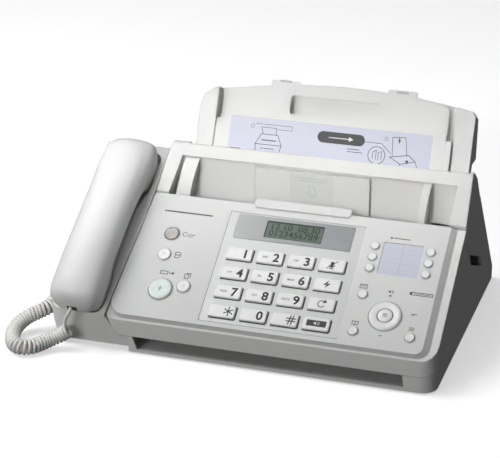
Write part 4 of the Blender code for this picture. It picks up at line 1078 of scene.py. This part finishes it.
# ---- plug and rear
def rear_details():
    """Rating label, warm-air slots and screws on the slanting back of the base."""
    foot, head = Vector((0, 0.1347, 0.0119)), Vector((0, 0.0479, 0.1192))
    up = (head - foot).normalized()
    out = Vector((0, up.z, -up.y))
    slope = Matrix.Translation(foot) @ Matrix((Vector((-1, 0, 0)), up, out)).transposed().to_4x4()

    def put(marks, name, ink, height, thick=INK):
        place = slope @ Matrix.Translation((0, 0, height))
        marks.piece(name, ink, "chassis", place, "shell_plastic", thick)

    put(Print().bar(0.030, 0.060, 0.034, 0.019, 0.0015), "rating_label", "pale_sticker", LIFT, SHEET)
    ruled = Print().outline(-0.0010, 0.0440, 0.0610, 0.0760, FINE)
    for row in range(5):
        ruled.dash(0.0030, 0.0380 - 0.0030 * (row % 2), 0.0480 + 0.0052 * row, 0.0008)
    ruled.outline(0.0450, 0.0500, 0.0570, 0.0600, STROKE)
    for column in range(9):
        x = 0.0450 + 0.0015 * column
        ruled.line([(x, 0.0650), (x, 0.0710)], FINE + FINE * (column % 2))
    put(ruled, "rating_lines", "ink_grey", LIFT * 2 + SHEET)

    # dark bars for the slots: painted shade inside the openings
    slots = Print()
    for column in range(16):
        slots.bar(-0.1180 + 0.0052 * column, 0.0880, 0.0012, 0.0110, 0.0011)
    put(slots, "air_slots", "dark_plastic", LIFT)

    arm = 0.0017
    # dark wells round the heads and dark crosses on them: painted shade of the recesses
    wells, heads, crosses = Print(), Print(), Print()
    for x, y in ((0.0880, 0.0160), (-0.1640, 0.0160), (0.0880, 0.1180), (-0.1640, 0.1180)):
        wells.disc(x, y, 0.0042)
        heads.disc(x, y, 0.0030)
        crosses.dash(x - arm, x + arm, y, BOLD)
        crosses.line([(x, y - arm), (x, y + arm)], BOLD)
    put(wells, "screw_wells", "dark_plastic", LIFT)
    put(heads, "screw_heads", "steel", LIFT * 2 + INK, CARD)
    put(crosses, "screw_crosses", "dark_plastic", LIFT * 3 + INK + CARD)


def base_plug():
    """Modular plug: clear body that steps down to a narrow end where the wire goes in."""
    low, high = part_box("base_plug")
    middle = (low + high) / 2
    bm = bmesh.new()
    sections = [(low.x, 0.55, 0.55), (low.x + 0.0015, 0.72, 0.72), (low.x + 0.0120, 0.86, 0.80),
                (low.x + 0.0165, 0.86, 0.80), (low.x + 0.0172, 1.0, 1.0), (high.x, 1.0, 1.0)]
    half_y, half_z = (high.y - low.y) / 2, (high.z - low.z) / 2
    rings = []
    for x, wide, tall in sections:
        ring = []
        for sy, sz in ((1, 1), (-1, 1), (-1, -1), (1, -1)):
            ring.append(bm.verts.new((x, middle.y + sy * half_y * wide, middle.z + sz * half_z * tall)))
        rings.append(ring)
    for one, two in zip(rings, rings[1:]):
        for i in range(4):
            j = (i + 1) % 4
            bm.faces.new((one[i], one[j], two[j], two[i]))
    bm.faces.new(rings[0])
    bm.faces.new(rings[-1])
    obj = add_piece("plug_body", to_mesh(bm, "plug_body"), "clear_plastic", "chassis")
    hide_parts("base_plug")
    soft = obj.modifiers.new("soft_edges", "BEVEL")
    soft.width = 0.0003
    soft.segments = 2
    return obj


# ---- stage
LIGHTS = [
    # name, place, what it aims at, size, power in watts, spread in degrees
    ("key", (-1.1, -0.2, 1.7), (0.0, 0.0, 0.05), (1.2, 1.2), 19.1, 180),
    ("top", (0.0, 0.0, 1.8), (0.0, 0.0, 0.0), (1.6, 1.6), 4.5, 180),
    ("front", (-0.7, -1.6, 0.5), (0.0, 0.0, 0.1), (0.8, 0.6), 8.2, 180),
    ("tray", (-0.2, -1.7, 0.9), (0.03, 0.10, 0.30), (0.8, 0.3), 0.15, 22),
    ("recess", (-0.3, -1.7, 0.9), (-0.01, 0.01, 0.140), (0.4, 0.06), 0.080, 9),
]
SKY = (0.058, 0.097)         # world strength below and overhead
SKY_TINT = (0.975, 1.0, 0.98, 1.0)
FLOOR_GLOW = 0.5


def area_light(name, place, target, size, power, spread):
    data = bpy.data.lights.new(name, "AREA")
    data.shape = "RECTANGLE"
    data.size, data.size_y = size
    data.energy = power
    data.spread = math.radians(spread)
    light = bpy.data.objects.new(name, data)
    light.location = place
    light.rotation_euler = (Vector(target) - Vector(place)).to_track_quat("-Z", "Y").to_euler()
    link(light)


def make_stage():
    bm = bmesh.new()
    bmesh.ops.create_grid(bm, x_segments=1, y_segments=1, size=6.0)
    floor = bpy.data.objects.new("floor", to_mesh(bm, "floor"))
    floor.location.z = -0.0001
    link(floor)
    s = Shader("pale_floor")
    mottle = s.noise(1.5, 2.0)
    s.set(Base_Color=s.mix(s.span(mottle, 0.0, 1.0), rgb(0.93, 0.93, 0.93), rgb(0.95, 0.95, 0.95)),
          Roughness=0.9, Specular_IOR_Level=0.0, Emission_Color=rgb(1.0, 1.0, 1.0),
          Emission_Strength=FLOOR_GLOW)
    s.mat.cycles.emission_sampling = "NONE"
    floor.data.materials.append(s.mat)
    floor.visible_diffuse = False
    floor.visible_glossy = False

    for name, place, target, size, power, spread in LIGHTS:
        area_light(name, place, target, size, power, spread)

    world = bpy.data.worlds.new("studio")
    bpy.context.scene.world = world
    world.use_nodes = True
    nodes, links = world.node_tree.nodes, world.node_tree.links
    direction = nodes.new("ShaderNodeTexCoord").outputs["Generated"]
    split = nodes.new("ShaderNodeSeparateXYZ")
    links.new(direction, split.inputs["Vector"])
    ramp = nodes.new("ShaderNodeMapRange")
    ramp.inputs["From Min"].default_value = -0.2
    ramp.inputs["From Max"].default_value = 0.9
    ramp.inputs["To Min"].default_value, ramp.inputs["To Max"].default_value = SKY
    links.new(split.outputs["Z"], ramp.inputs["Value"])
    background = nodes["Background"]
    background.inputs["Color"].default_value = SKY_TINT
    links.new(ramp.outputs["Result"], background.inputs["Strength"])
    bpy.context.scene.view_settings.view_transform = "Standard"


# ---- assembly
make_camera()
MATERIALS = make_materials()
base_plug()
make_cord()
finish_cad()
make_handset()
rear_details()
key_marks()
key_shadow_lines()
function_marks()
button_bezels()
button_caps()
panel_marks()
inlay_edges()
display()
directory_card()
tray_label()
tray_details()
recess_details()
make_stage()
